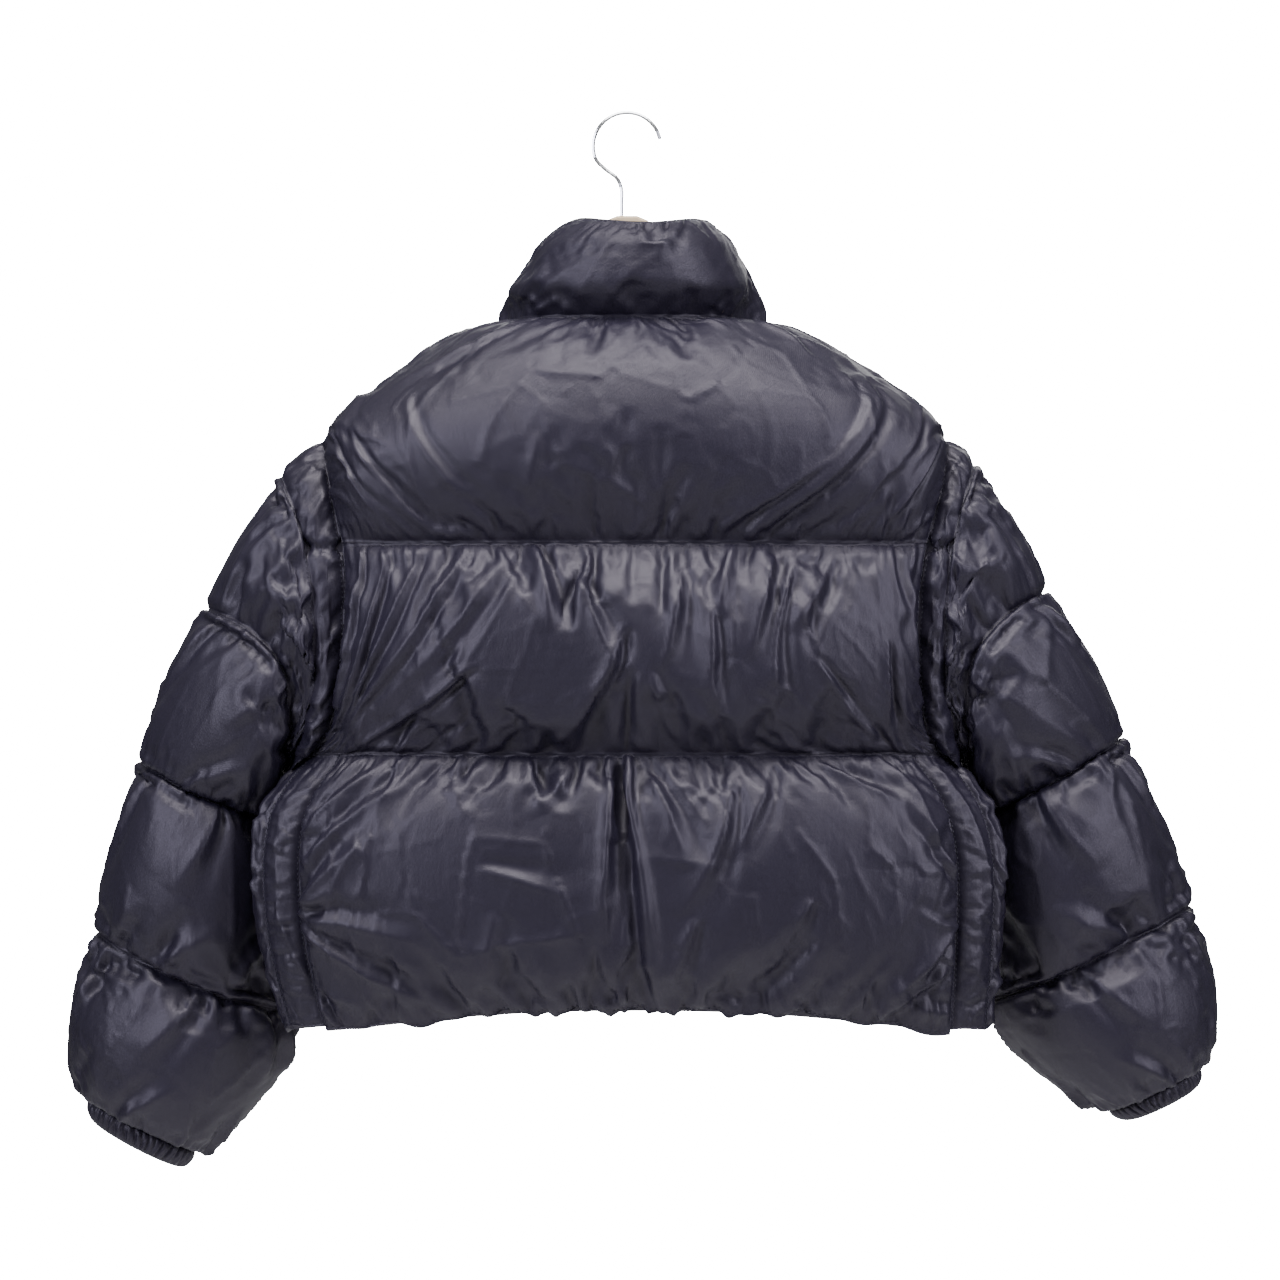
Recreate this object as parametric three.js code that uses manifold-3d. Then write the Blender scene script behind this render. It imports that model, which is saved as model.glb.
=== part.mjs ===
// A short, wide down jacket on a hanger: padded baffles over a plain inner wall.
// Millimetres, +Z up. The origin is the inner top of the hook, where it rests on a rail.
// The back of the jacket faces -Y, and the wearer's right hand side is +X.
import * as THREE from 'three';
import { mergeVertices } from 'three/addons/utils/BufferGeometryUtils.js';
import Module from 'manifold-3d';

const wasm = await Module();
wasm.setup();

// Driving sizes
const seamGap = 0.25; // each piece stops this far short of the seam line
const seamWall = 3; // cloth and down left in a sewn seam
const zipHalf = 9.8; // from the centre line to the edge of one zip tape
const tipHeight = -264; // top of the armhole, at the shoulder tip
const yokeHeight = -344; // upper quilting seam
const waistHeight = -510; // lower quilting seam, and the bottom of the armhole
const armholeMiddle = (tipHeight + waistHeight) / 2;
const armholeHalf = (tipHeight - waistHeight) / 2;
const armholeAngle = 31; // degrees that the armhole opens to the back and to the front
const sideSeamBack = 62.5; // degrees from the centre back to the back seam of the side panel
const sideSeamFront = 80;
const upperSteps = 4; // armhole stations in the upper baffle, and in the middle one
const middleSteps = 8;
const shoulderSteps = 3; // rows between the neck and the shoulder tip
const bodyPuff = 27;
const frontPuff = 24;
const panelPuff = 11;
const edgeRise = 34; // a baffle is full this far from the seams at its sides
const gatherReach = 12; // a gather is highest this far from its seam
const bandGap = 1.5; // the band and the next ring turn sharply, so they start further off
const rad = Math.PI / 180;

// The lining's level sections: an oval about (centre, middle), flatter behind than in front.
const bodySections = [
  { z: -760, centre: 10, half: 272, middle: -34, back: 47, front: 104 },
  { z: -731, centre: 9, half: 276, middle: -34, back: 48, front: 106 },
  { z: -660, centre: 3, half: 287, middle: -34, back: 52, front: 110 },
  { z: -600, centre: 1, half: 290, middle: -34, back: 52, front: 110 },
  { z: -562, centre: 0, half: 284, middle: -32, back: 54, front: 108 },
  { z: -536, centre: 0, half: 271, middle: -26, back: 60, front: 102 },
  { z: -510, centre: 0, half: 254, middle: -16, back: 71, front: 92 },
  { z: -460, centre: 2, half: 261, middle: -4, back: 84, front: 80 },
  { z: -400, centre: 4, half: 264, middle: 0, back: 88, front: 76 },
  { z: -344, centre: 6, half: 264, middle: 0, back: 88, front: 76 },
  { z: -300, centre: 7, half: 260, middle: 0, back: 87, front: 75 },
  { z: -264, centre: 7, half: 242, middle: 0, back: 84, front: 73 },
  { z: -228, centre: 6, half: 192, middle: 0, back: 78, front: 69 },
  { z: -199, centre: 5, half: 156, middle: 0, back: 71, front: 64 },
  { z: -183, centre: 4, half: 128, middle: 0, back: 66, front: 60 },
  { z: -171, centre: 0, half: 95, middle: 0, back: 60, front: 56 },
  { z: -155, centre: 0, half: 62, middle: 0, back: 52, front: 50 },
];
const sectionColumns = ['centre', 'half', 'middle', 'back', 'front'];

// The largest folds of the back, as troughs between two points seen from behind.
const backFolds = [
  { fromX: -6, fromZ: -514, toX: -12, toZ: -640, width: 9, depth: 13 },
  { fromX: -2, fromZ: -516, toX: 6, toZ: -700, width: 8, depth: 10 },
  { fromX: 26, fromZ: -520, toX: 34, toZ: -655, width: 9, depth: 7 },
  { fromX: 95, fromZ: -520, toX: 60, toZ: -600, width: 10, depth: 7 },
  { fromX: -80, fromZ: -520, toX: -60, toZ: -600, width: 10, depth: 7 },
  { fromX: -225, fromZ: -630, toX: -120, toZ: -600, width: 11, depth: 8 },
  { fromX: 235, fromZ: -650, toX: 130, toZ: -660, width: 11, depth: 8 },
  { fromX: -190, fromZ: -352, toX: -215, toZ: -440, width: 11, depth: 9 },
  { fromX: -55, fromZ: -350, toX: -75, toZ: -420, width: 9, depth: 9 },
  { fromX: -20, fromZ: -352, toX: -42, toZ: -470, width: 10, depth: 8 },
  { fromX: 50, fromZ: -350, toX: 66, toZ: -430, width: 9, depth: 9 },
  { fromX: 120, fromZ: -350, toX: 96, toZ: -440, width: 9, depth: 8 },
  { fromX: 190, fromZ: -352, toX: 205, toZ: -420, width: 10, depth: 8 },
  { fromX: 150, fromZ: -225, toX: 96, toZ: -320, width: 12, depth: 8 },
  { fromX: -150, fromZ: -235, toX: -190, toZ: -320, width: 12, depth: 8 },
];

// Sleeve rings from the armhole to the cuff's end: the outer and inner ends of the seam as seen
// from behind, and how deep the ring is from back to front. Between its ends the seam bows
// towards the body by inward, and up by upward.
const ringColumns = [
  'outerX', 'outerZ', 'innerX', 'innerZ', 'middleY', 'halfDepth', 'inward', 'upward',
];
const ringRows = {
  left: [
    [-276, -293, -266, -510, -1, 49, 24, 0],
    [-335, -399, -278, -520, 18, 58, 32, 19],
    [-387, -520, -288, -562, 50, 57, 0, -6],
    [-426, -658, -279, -720, 60, 57, 0, -5],
    [-433, -793, -354, -832, 60, 37, 0, 0],
    [-432, -811, -364, -847, 60, 34, 0, 0],
  ],
  right: [
    [277, -284, 266, -510, -1, 49, 20, 0],
    [332, -387, 278, -520, 18, 58, 30, 19],
    [394, -502, 288, -562, 50, 57, 0, -2],
    [453, -637, 300, -711, 60, 57, 0, 0],
    [460, -767, 394, -800, 60, 37, 0, 0],
    [461, -783, 409, -809, 60, 33, 0, 0],
  ],
};
const sleeveRings = Object.fromEntries(Object.entries(ringRows).map(([side, rows]) => [
  side,
  rows.map((row) => Object.fromEntries(row.map((value, k) => [ringColumns[k], value]))),
]));

// How far each sleeve baffle stands out on its four sides.
const sleevePuffs = {
  left: [
    { outer: 6, back: 19, inner: 2, front: 16 },
    { outer: 5, back: 21, inner: 3, front: 17 },
    { outer: 4, back: 21, inner: 3, front: 18 },
    { outer: 19, back: 22, inner: 22, front: 19 },
  ],
  right: [
    { outer: 12, back: 19, inner: 2, front: 16 },
    { outer: 8, back: 21, inner: 3, front: 17 },
    { outer: 4, back: 21, inner: 3, front: 18 },
    { outer: 18, back: 22, inner: 17, front: 19 },
  ],
};

// Mixes and curves
const mix = THREE.MathUtils.lerp;
const smooth = THREE.MathUtils.smoothstep;

function sectionAt(height) {
  const spans = sectionAt.spans ??= new THREE.CubicInterpolant(
    bodySections.map((row) => row.z),
    bodySections.flatMap((row) => sectionColumns.map((name) => row[name])),
    sectionColumns.length,
  );
  const values = spans.evaluate(height);
  return Object.fromEntries(sectionColumns.map((name, k) => [name, values[k]]));
}

// A point of the lining: angle 0 is the centre back, 90 the side at +X, 180 the centre front.
function bodyPoint(angle, height) {
  const section = sectionAt(height);
  const toBack = Math.cos(angle * rad);
  const depth = toBack > 0 ? section.back : section.front;
  return new THREE.Vector3(
    section.centre + section.half * Math.sin(angle * rad),
    section.middle - depth * toBack,
    height,
  );
}

function bodyNormal(angle, height) {
  const around = bodyPoint(angle + 0.5, height).sub(bodyPoint(angle - 0.5, height));
  const down = bodyPoint(angle, height - 1).sub(bodyPoint(angle, height + 1));
  return down.cross(around).normalize();
}

// The angle that lies a distance further round the lining.
function angleBeyond(angle, height, distance) {
  const perDegree = bodyPoint(angle + 0.5, height).distanceTo(bodyPoint(angle - 0.5, height));
  return angle + distance / perDegree;
}

const neckHeight = (angle) => -166 - 45 * ((1 - Math.cos(angle * rad)) / 2) ** 4;
const hemHeight = (angle) => -711 - 18 * Math.sin(angle * rad) ** 2;

// The armhole's outline is a rounded loop: squarer below than above.
function armholeSpread(height) {
  const level = Math.min(1, Math.abs(height - armholeMiddle) / armholeHalf);
  const power = height > armholeMiddle ? 2 : 3;
  return armholeAngle * (1 - level ** power) ** (1 / power);
}

function armholeDistance(angle, height) {
  const power = height > armholeMiddle ? 2 : 3;
  const across = Math.abs(Math.abs(angle) - 90) / armholeAngle;
  const level = Math.abs(height - armholeMiddle) / armholeHalf;
  return (across ** power + level ** power) ** (1 / power);
}

// The way a padded wall stands out from the lining. At a seam it halves the angle to the
// neighbour, so that two pieces meet on one ruled surface.
function bodyDirection(angle, height) {
  const point = bodyPoint(angle, height);
  const direction = bodyNormal(angle, height);
  const nearArm = 1 - smooth(armholeDistance(angle, height), 1, 1.45);
  const nearNeck = 1 - smooth(neckHeight(angle) - height, 0, 16);
  const fromArm = new THREE.Vector3(0, (point.y + 2) / 50, (height - armholeMiddle) / armholeHalf);
  const fromNeck = new THREE.Vector3(point.x, point.y, 0);
  direction.addScaledVector(fromArm.normalize(), nearArm);
  direction.addScaledVector(fromNeck.normalize(), nearNeck);
  return direction.normalize();
}

// Gathers are small waves next to a seam: count is how many there are along it.
function gathers(along, toSeam, count, size) {
  const near = (toSeam / gatherReach) * Math.exp(1 - toSeam / gatherReach);
  const uneven = 0.7 + 0.3 * Math.sin(along * 41);
  return size * near * uneven * Math.cos(along * count * 2 * Math.PI);
}

function foldDepth(x, z) {
  let depth = 0;
  for (const fold of backFolds) {
    const line = new THREE.Line3(
      new THREE.Vector3(fold.fromX, 0, fold.fromZ),
      new THREE.Vector3(fold.toX, 0, fold.toZ),
    );
    const point = new THREE.Vector3(x, 0, z);
    const nearest = line.closestPointToPoint(point, true, new THREE.Vector3());
    depth = Math.max(depth, fold.depth * Math.exp(-((point.distanceTo(nearest) / fold.width) ** 2)));
  }
  return depth;
}

// A soft rise from a seam to full height over a distance.
function rise(distance, over) {
  const rest = 1 - Math.min(Math.max(distance, 0) / over, 1);
  return Math.sqrt(1 - rest * rest);
}

// Geometry from lists of points and faces, turned so that its faces point outwards.
function solidFrom(points, faces) {
  const corner = new THREE.Vector3();
  let volume = 0;
  for (const [a, b, c] of faces) {
    volume += points[a].dot(corner.crossVectors(points[b], points[c]));
  }
  const index = faces.flatMap(([a, b, c]) => (volume > 0 ? [a, b, c] : [a, c, b]));
  const places = points.flatMap((point) => point.toArray());
  const geometry = new THREE.BufferGeometry();
  geometry.setAttribute('position', new THREE.Float32BufferAttribute(places, 3));
  geometry.setIndex(index);
  geometry.computeVertexNormals();
  return geometry;
}

// Faces between two rows of points that may differ in number.
function stitch(first, second) {
  const faces = [];
  let i = 0;
  let j = 0;
  while (i < first.length - 1 || j < second.length - 1) {
    const nextFirst = (i + 1) / (first.length - 1);
    const nextSecond = (j + 1) / (second.length - 1);
    if (j === second.length - 1 || (i < first.length - 1 && nextFirst <= nextSecond)) {
      faces.push([first[i], first[i + 1], second[j]]);
      i += 1;
    } else {
      faces.push([first[i], second[j + 1], second[j]]);
      j += 1;
    }
  }
  return faces;
}

// A padded wall over a grid. place(column, row) gives the inner point, the direction in which the
// wall stands out and its thickness. The inner side has fewer rows, apart from its open ends.
function paddedWall({ columns, rows, innerRows, closed, place }) {
  const points = [];
  const outer = [];
  const inner = [];
  const count = closed ? columns : columns + 1;
  for (let column = 0; column < count; column += 1) {
    const atEnd = !closed && (column === 0 || column === columns);
    const kept = atEnd ? rows : innerRows;
    const keptRows = Array.from({ length: kept + 1 }, (_, k) => Math.round((k * rows) / kept));
    const outside = [];
    const inside = [];
    for (let row = 0; row <= rows; row += 1) {
      const { point, direction, thickness } = place(column, row);
      outside.push(points.push(point.clone().addScaledVector(direction, thickness)) - 1);
      if (keptRows.includes(row)) {
        inside.push(points.push(point) - 1);
      }
    }
    outer.push(outside);
    inner.push(inside);
  }
  const faces = [];
  for (let column = 0; column < columns; column += 1) {
    const next = (column + 1) % count;
    faces.push(...stitch(outer[column], outer[next]));
    faces.push(...stitch(inner[next], inner[column]));
    for (const [end, turn] of [[0, (face) => face], [-1, turned]]) {
      const outside = [outer[column].at(end), outer[next].at(end)];
      const inside = [inner[column].at(end), inner[next].at(end)];
      faces.push(...stitch(outside, inside).map(turn));
    }
  }
  if (!closed) {
    faces.push(...stitch(outer[0], inner[0]).map(turned));
    faces.push(...stitch(outer.at(-1), inner.at(-1)));
  }
  return solidFrom(points, faces);
}

function turned([a, b, c]) {
  return [a, c, b];
}

// Armhole stations: 0 at the shoulder tip, then down the back, under the arm and up the front.
const halfStations = upperSteps + middleSteps;
const yokeTurn = Math.acos((yokeHeight - armholeMiddle) / armholeHalf) / rad;

function stationTurn(station) {
  const step = station > halfStations ? 2 * halfStations - station : station;
  const turn = step <= upperSteps
    ? mix(0, yokeTurn, step / upperSteps)
    : mix(180, yokeTurn, (1 - (step - upperSteps) / middleSteps) ** 1.25);
  return station > halfStations ? 360 - turn : turn;
}

function stationHeight(station) {
  return armholeMiddle + armholeHalf * Math.cos(stationTurn(station) * rad);
}

// Body baffles
function edgeAngle(side, height) {
  const spread = armholeSpread(height);
  return side === 'back'
    ? angleBeyond(90 - spread, height, -seamGap)
    : angleBeyond(90 + spread, height, seamGap);
}

// The angle near the centre front at which a row of points meets the zip tape's edge.
function zipEdgeAngle(side, pointAt) {
  let low = 150;
  let high = 180;
  for (let step = 0; step < 24; step += 1) {
    const angle = (low + high) / 2;
    if (side * pointAt(side * angle).x > zipHalf + 2 * seamGap) {
      low = angle;
    } else {
      high = angle;
    }
  }
  return (low + high) / 2;
}

function shoulderAngle(row, side) {
  const seam = 90 + 15 * (1 - row / shoulderSteps);
  const height = mix(neckHeight(seam), tipHeight, row / shoulderSteps);
  return angleBeyond(seam, height, side === 'back' ? -seamGap : seamGap);
}

const levels = {
  upper: {
    rows: shoulderSteps + upperSteps,
    height(row, angle) {
      const top = neckHeight(angle) - seamGap;
      if (row < shoulderSteps) {
        return mix(top, tipHeight + seamGap, row / shoulderSteps);
      }
      const height = stationHeight(row - shoulderSteps);
      return Math.min(tipHeight + seamGap, Math.max(height, yokeHeight + seamGap));
    },
    edge(row, side) {
      return row < shoulderSteps
        ? shoulderAngle(row, side)
        : edgeAngle(side, this.height(row, 90));
    },
  },
  middle: {
    rows: middleSteps,
    height(row) {
      const height = stationHeight(upperSteps + row);
      return Math.min(yokeHeight - seamGap, Math.max(height, waistHeight + seamGap));
    },
    edge(row, side) {
      return edgeAngle(side, this.height(row));
    },
  },
  lower: {
    rows: 7,
    height(row, angle) {
      return mix(waistHeight - seamGap, hemHeight(angle), row / this.rows);
    },
    edge(row, side) {
      const height = this.height(row, 90);
      return side === 'back'
        ? angleBeyond(sideSeamBack, height, -seamGap)
        : angleBeyond(sideSeamFront, height, seamGap);
    },
  },
};

// A baffle of the body between two edges, each a function of the row that gives an angle.
function bodyBaffle({ level, columns, innerRows, from, to, waves, puff, folded, atSide = 0.35 }) {
  return paddedWall({
    columns,
    rows: level.rows,
    innerRows,
    closed: false,
    place(column, row) {
      const along = column / columns;
      const angle = mix(from(row), to(row), along);
      const height = level.height(row, angle);
      const top = level.height(0, angle);
      const bottom = level.height(level.rows, angle);
      const down = (top - height) / (top - bottom);
      const point = bodyPoint(angle, height);
      const edge = Math.min(
        point.distanceTo(bodyPoint(from(row), height)),
        point.distanceTo(bodyPoint(to(row), height)),
        (armholeDistance(angle, height) - 1) * armholeHalf,
      );
      const overRidge = 1 - atSide * Math.abs(Math.sin(angle * rad)) ** 6;
      const pit = smooth(-height, 470, 500) * (1 - smooth(armholeDistance(angle, height), 1, 1.35));
      const round = puff * (4 * down * (1 - down)) ** 0.7;
      const full = round * rise(edge, edgeRise) * overRidge * (1 - 0.85 * pit);
      const toSeam = Math.min(top - height, height - bottom);
      const crease = folded ? foldDepth(point.x, point.z) : 0;
      const wave = gathers(along, toSeam, waves, 2.5) * rise(edge, edgeRise);
      const thickness = Math.max(seamWall, seamWall + full + wave - Math.min(crease, full * 0.75));
      return { point, direction: bodyDirection(angle, height), thickness };
    },
  });
}

function backBaffle(level, columns, waves, innerRows) {
  return bodyBaffle({
    level,
    columns,
    innerRows,
    waves,
    puff: bodyPuff,
    folded: true,
    from: (row) => -level.edge(row, 'back'),
    to: (row) => level.edge(row, 'back'),
  });
}

function frontBaffle(level, side, columns, waves, innerRows) {
  return bodyBaffle({
    level,
    columns,
    innerRows,
    waves,
    puff: frontPuff,
    folded: false,
    atSide: level === levels.lower ? 0.72 : 0.35,
    from: (row) => side * level.edge(row, 'front'),
    to: (row) => side * zipEdgeAngle(side, (angle) => bodyPoint(angle, level.height(row, 180))),
  });
}

function sidePanel(side) {
  const level = levels.lower;
  return bodyBaffle({
    level,
    columns: 6,
    innerRows: 2,
    waves: 1.5,
    puff: panelPuff,
    folded: false,
    from: (row) => side * angleBeyond(sideSeamBack, level.height(row, 90), seamGap),
    to: (row) => side * angleBeyond(sideSeamFront, level.height(row, 90), -seamGap),
  });
}

// Sleeves
function ringPoint(ring, turn) {
  const bow = Math.sin(turn * rad) ** 2;
  const outward = (1 + Math.cos(turn * rad)) / 2;
  return new THREE.Vector3(
    mix(ring.innerX, ring.outerX, outward) - ring.inward * bow * Math.sign(ring.outerX),
    ring.middleY - ring.halfDepth * Math.sin(turn * rad),
    mix(ring.innerZ, ring.outerZ, outward) + ring.upward * bow,
  );
}

function ringDirection(ring, turn) {
  const chord = new THREE.Vector3(ring.outerX - ring.innerX, 0, ring.outerZ - ring.innerZ);
  return chord
    .multiplyScalar((2 * Math.cos(turn * rad)) / chord.lengthSq())
    .add(new THREE.Vector3(0, -Math.sin(turn * rad) / ring.halfDepth, 0))
    .normalize();
}

// The armhole on the body, with straight stretches between its stations.
function armholePoint(side, place) {
  const station = Math.floor(place);
  const at = (k) => {
    const behind = k % (2 * halfStations) <= halfStations;
    const height = stationHeight(k % (2 * halfStations));
    const spread = armholeSpread(height);
    const angle = side * (behind ? 90 - spread : 90 + spread);
    return { point: bodyPoint(angle, height), direction: bodyDirection(angle, height) };
  };
  const first = at(station);
  const second = at(station + 1);
  return {
    point: first.point.lerp(second.point, place - station),
    direction: first.direction.lerp(second.direction, place - station),
  };
}

function turnAtStation(place) {
  const station = Math.floor(place);
  return mix(stationTurn(station), stationTurn(station + 1), place - station);
}

// A ring of padding between two seams: start and end give a point and a direction at each column.
// Where sagAt is above 1 the down has sunk towards the lower seam.
function paddedRing({ start, end, puffAt, waves, startGap = seamGap, sagAt = () => 1, ...grid }) {
  const { columns, rows } = grid;
  return paddedWall({
    ...grid,
    closed: true,
    place(column, row) {
      const first = start(column);
      const second = end(column);
      const length = first.point.distanceTo(second.point);
      const share = mix(startGap / length, 1 - seamGap / length, row / rows);
      const down = row / rows;
      const point = first.point.clone().lerp(second.point, share);
      const direction = first.direction.clone().lerp(second.direction, share).normalize();
      const sunk = down ** sagAt(column);
      const full = puffAt(column) * (4 * sunk * (1 - sunk)) ** 0.7;
      const toSeam = Math.min(down, 1 - down) * length;
      const wave = gathers(column / columns, toSeam, waves, Math.min(2, full / 4));
      return { point, direction, thickness: seamWall + full + wave };
    },
  });
}

function puffAround(puffs, turn) {
  const outward = Math.cos(turn * rad);
  const backward = Math.sin(turn * rad);
  return (
    (outward > 0 ? puffs.outer : puffs.inner) * outward ** 2 +
    (backward > 0 ? puffs.back : puffs.front) * backward ** 2
  );
}

const bandColumns = 4 * halfStations;
const bandPuffs = { outer: 6, back: 9, inner: 1.5, front: 8 };

function bandTurn(column) {
  return turnAtStation(column / 2);
}

function armholeBand(side, rings) {
  return paddedRing({
    columns: bandColumns,
    rows: 3,
    innerRows: 1,
    waves: 11,
    startGap: bandGap,
    start: (column) => armholePoint(side, column / 2),
    end: (column) => ringEnd(rings[0], bandTurn(column)),
    puffAt: (column) => puffAround(bandPuffs, bandTurn(column)),
  });
}

function ringEnd(ring, turn) {
  return { point: ringPoint(ring, turn), direction: ringDirection(ring, turn) };
}

function sleeveBaffle(rings, puffs, number) {
  const columns = number === 0 ? bandColumns : 32;
  const turnAt = number === 0 ? bandTurn : (column) => (column / columns) * 360;
  return paddedRing({
    columns,
    rows: 6,
    innerRows: 1,
    waves: columns / 4,
    startGap: number === 1 ? bandGap : seamGap,
    sagAt: (column) => (number === 3 ? 1.2 + 0.5 * Math.cos(turnAt(column) * rad) : 1),
    start: (column) => ringEnd(rings[number], turnAt(column)),
    end: (column) => ringEnd(rings[number + 1], turnAt(column)),
    puffAt: (column) => puffAround(puffs, turnAt(column)),
  });
}

// Elastic cuff: short pleats all round.
function cuff(rings) {
  const columns = 40;
  const turnAt = (column) => (column / columns) * 360;
  return paddedRing({
    columns,
    rows: 2,
    innerRows: 1,
    waves: columns / 2,
    start: (column) => ringEnd(rings[4], turnAt(column)),
    end: (column) => ringEnd(rings[5], turnAt(column)),
    puffAt: (column) => (column % 2 ? 1 : 4),
  });
}

// Collar
const collarBow = 5; // how far its lining bows out between seam and top
const collarPuff = 19;
const collarTaper = 9; // how much thinner it is at the top
const collarLong = 90; // roughly from seam to top
const collarRise = 26;
const collarTop = { centre: 10, half: 41, middle: -6, back: 50, front: 46 };
const collarTopHeight = (angle) => -98 + 5 * Math.cos(angle * rad) + 9 * Math.sin(angle * rad) ** 2;

function collarPoint(angle, share) {
  const base = bodyPoint(angle, neckHeight(angle));
  const toBack = Math.cos(angle * rad);
  const top = new THREE.Vector3(
    collarTop.centre + collarTop.half * Math.sin(angle * rad),
    collarTop.middle - (toBack > 0 ? collarTop.back : collarTop.front) * toBack,
    collarTopHeight(angle),
  );
  const outward = new THREE.Vector3(base.x, base.y, 0).normalize();
  return base.lerp(top, share).addScaledVector(outward, collarBow * 4 * share * (1 - share));
}

function collarDirection(angle, share) {
  const atNeck = bodyDirection(angle, neckHeight(angle));
  const point = collarPoint(angle, share);
  const outward = new THREE.Vector3(point.x - share * collarTop.centre, point.y, 0).normalize();
  outward.z = 0.35 * share;
  return atNeck.lerp(outward, smooth(share, 0, 0.35)).normalize();
}

function collar() {
  const columns = 44;
  const rows = 7;
  return paddedWall({
    columns,
    rows,
    innerRows: 3,
    closed: false,
    place(column, row) {
      const share = row / rows;
      const left = -zipEdgeAngle(-1, (turn) => collarPoint(turn, share));
      const right = zipEdgeAngle(1, (turn) => collarPoint(turn, share));
      const angle = mix(left, right, column / columns);
      const point = collarPoint(angle, share);
      if (row === 0) {
        point.z += seamGap;
      }
      const end = point.distanceTo(collarPoint(right, share));
      const start = point.distanceTo(collarPoint(left, share));
      const full = collarPuff * Math.sin((Math.min(1, share / 0.4) * Math.PI) / 2);
      const swell = full - collarTaper * smooth(share, 0.7, 1);
      const low = gathers(column / columns, share * collarLong, 11, 2);
      const high = gathers(column / columns, (1 - share) * collarLong, 11, 1.5);
      const thickness = seamWall + (swell + low + high) * rise(Math.min(start, end), collarRise);
      return { point, direction: collarDirection(angle, share), thickness };
    },
  });
}

// Zip: each tape runs up the centre front from hem to collar top, with its row of teeth as a bead.
const tapeWall = 1.8;
const beadHalf = 3.2;
const beadHeight = 4.2;
const zipBodySteps = 12;
const zipCollarSteps = 6;

function zipPath() {
  const points = [];
  const bottom = hemHeight(180) + 1;
  for (let step = 0; step < zipBodySteps; step += 1) {
    points.push(bodyPoint(180, mix(bottom, neckHeight(180), step / zipBodySteps)));
  }
  for (let step = 0; step <= zipCollarSteps; step += 1) {
    points.push(collarPoint(180, 0.97 * (step / zipCollarSteps)));
  }
  return points;
}

function pathNormal(path, k) {
  const along = path[Math.min(k + 1, path.length - 1)].clone().sub(path[Math.max(k - 1, 0)]);
  return new THREE.Vector3(0, along.z, -along.y).normalize();
}

function zipTape(side) {
  const path = zipPath();
  const outline = [
    [seamGap, 0],
    [zipHalf, 0],
    [zipHalf, tapeWall],
    [beadHalf, tapeWall],
    [beadHalf, beadHeight],
    [seamGap, beadHeight],
  ];
  const points = [];
  for (const [k, place] of path.entries()) {
    const out = pathNormal(path, k);
    for (const [across, height] of outline) {
      points.push(new THREE.Vector3(side * across, place.y + out.y * height, place.z + out.z * height));
    }
  }
  const faces = [];
  const count = outline.length;
  for (let k = 0; k < path.length - 1; k += 1) {
    for (let corner = 0; corner < count; corner += 1) {
      const next = (corner + 1) % count;
      const low = k * count;
      const high = low + count;
      faces.push([low + corner, low + next, high + next], [low + corner, high + next, high + corner]);
    }
  }
  const last = (path.length - 1) * count;
  const capFaces = [[0, 1, 2], [0, 2, 3], [0, 3, 5], [3, 4, 5]];
  faces.push(...capFaces.map(([a, b, c]) => [a, c, b]));
  faces.push(...capFaces.map(([a, b, c]) => [last + a, last + b, last + c]));
  return solidFrom(points, faces);
}

// Slider: a saddle over the two beads with a lug, whose hole carries the pull's crossbar.
const sliderLength = 13;
const lugHole = 1.5;
const lugRadius = 2.7;
const lugCentre = 12;
const pullWire = 1.5;
const pullLength = 27;

function manifoldFrom(geometry) {
  const plain = geometry.clone();
  plain.deleteAttribute('normal');
  plain.deleteAttribute('uv');
  const merged = mergeVertices(plain, 1e-4);
  return new wasm.Manifold(new wasm.Mesh({
    numProp: 3,
    vertProperties: new Float32Array(merged.attributes.position.array),
    triVerts: new Uint32Array(merged.index.array),
  }));
}

function geometryFrom(solid) {
  const mesh = solid.getMesh();
  const geometry = new THREE.BufferGeometry();
  geometry.setAttribute('position', new THREE.Float32BufferAttribute(mesh.vertProperties, 3));
  geometry.setIndex([...mesh.triVerts]);
  geometry.computeVertexNormals();
  return geometry;
}

// In the slider's own frame X is across, Y away from the cloth and Z up along the zip.
function zipSlider() {
  const saddle = new THREE.Shape([
    [-5.4, tapeWall + 0.4],
    [-3.7, tapeWall + 0.4],
    [-3.7, beadHeight + 0.4],
    [3.7, beadHeight + 0.4],
    [3.7, tapeWall + 0.4],
    [5.4, tapeWall + 0.4],
    [5.4, 6.6],
    [3.8, 7.8],
    [-3.8, 7.8],
    [-5.4, 6.6],
  ].map(([x, y]) => new THREE.Vector2(x, y)));
  const body = new THREE.ExtrudeGeometry(saddle, { depth: sliderLength, bevelEnabled: false });
  body.translate(0, 0, -sliderLength / 2);
  const ear = new THREE.Shape();
  ear.absarc(0, lugCentre, lugRadius, 0, Math.PI, false);
  ear.lineTo(-lugRadius - 1.2, 7);
  ear.lineTo(lugRadius + 1.2, 7);
  const hole = new THREE.Path();
  hole.absarc(0, lugCentre, lugHole, 0, 2 * Math.PI, true);
  ear.holes.push(hole);
  const lug = new THREE.ExtrudeGeometry(ear, { depth: 2, bevelEnabled: false, curveSegments: 6 });
  lug.translate(0, 0, -1);
  lug.rotateY(Math.PI / 2);
  return geometryFrom(manifoldFrom(body).add(manifoldFrom(lug)));
}

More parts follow.
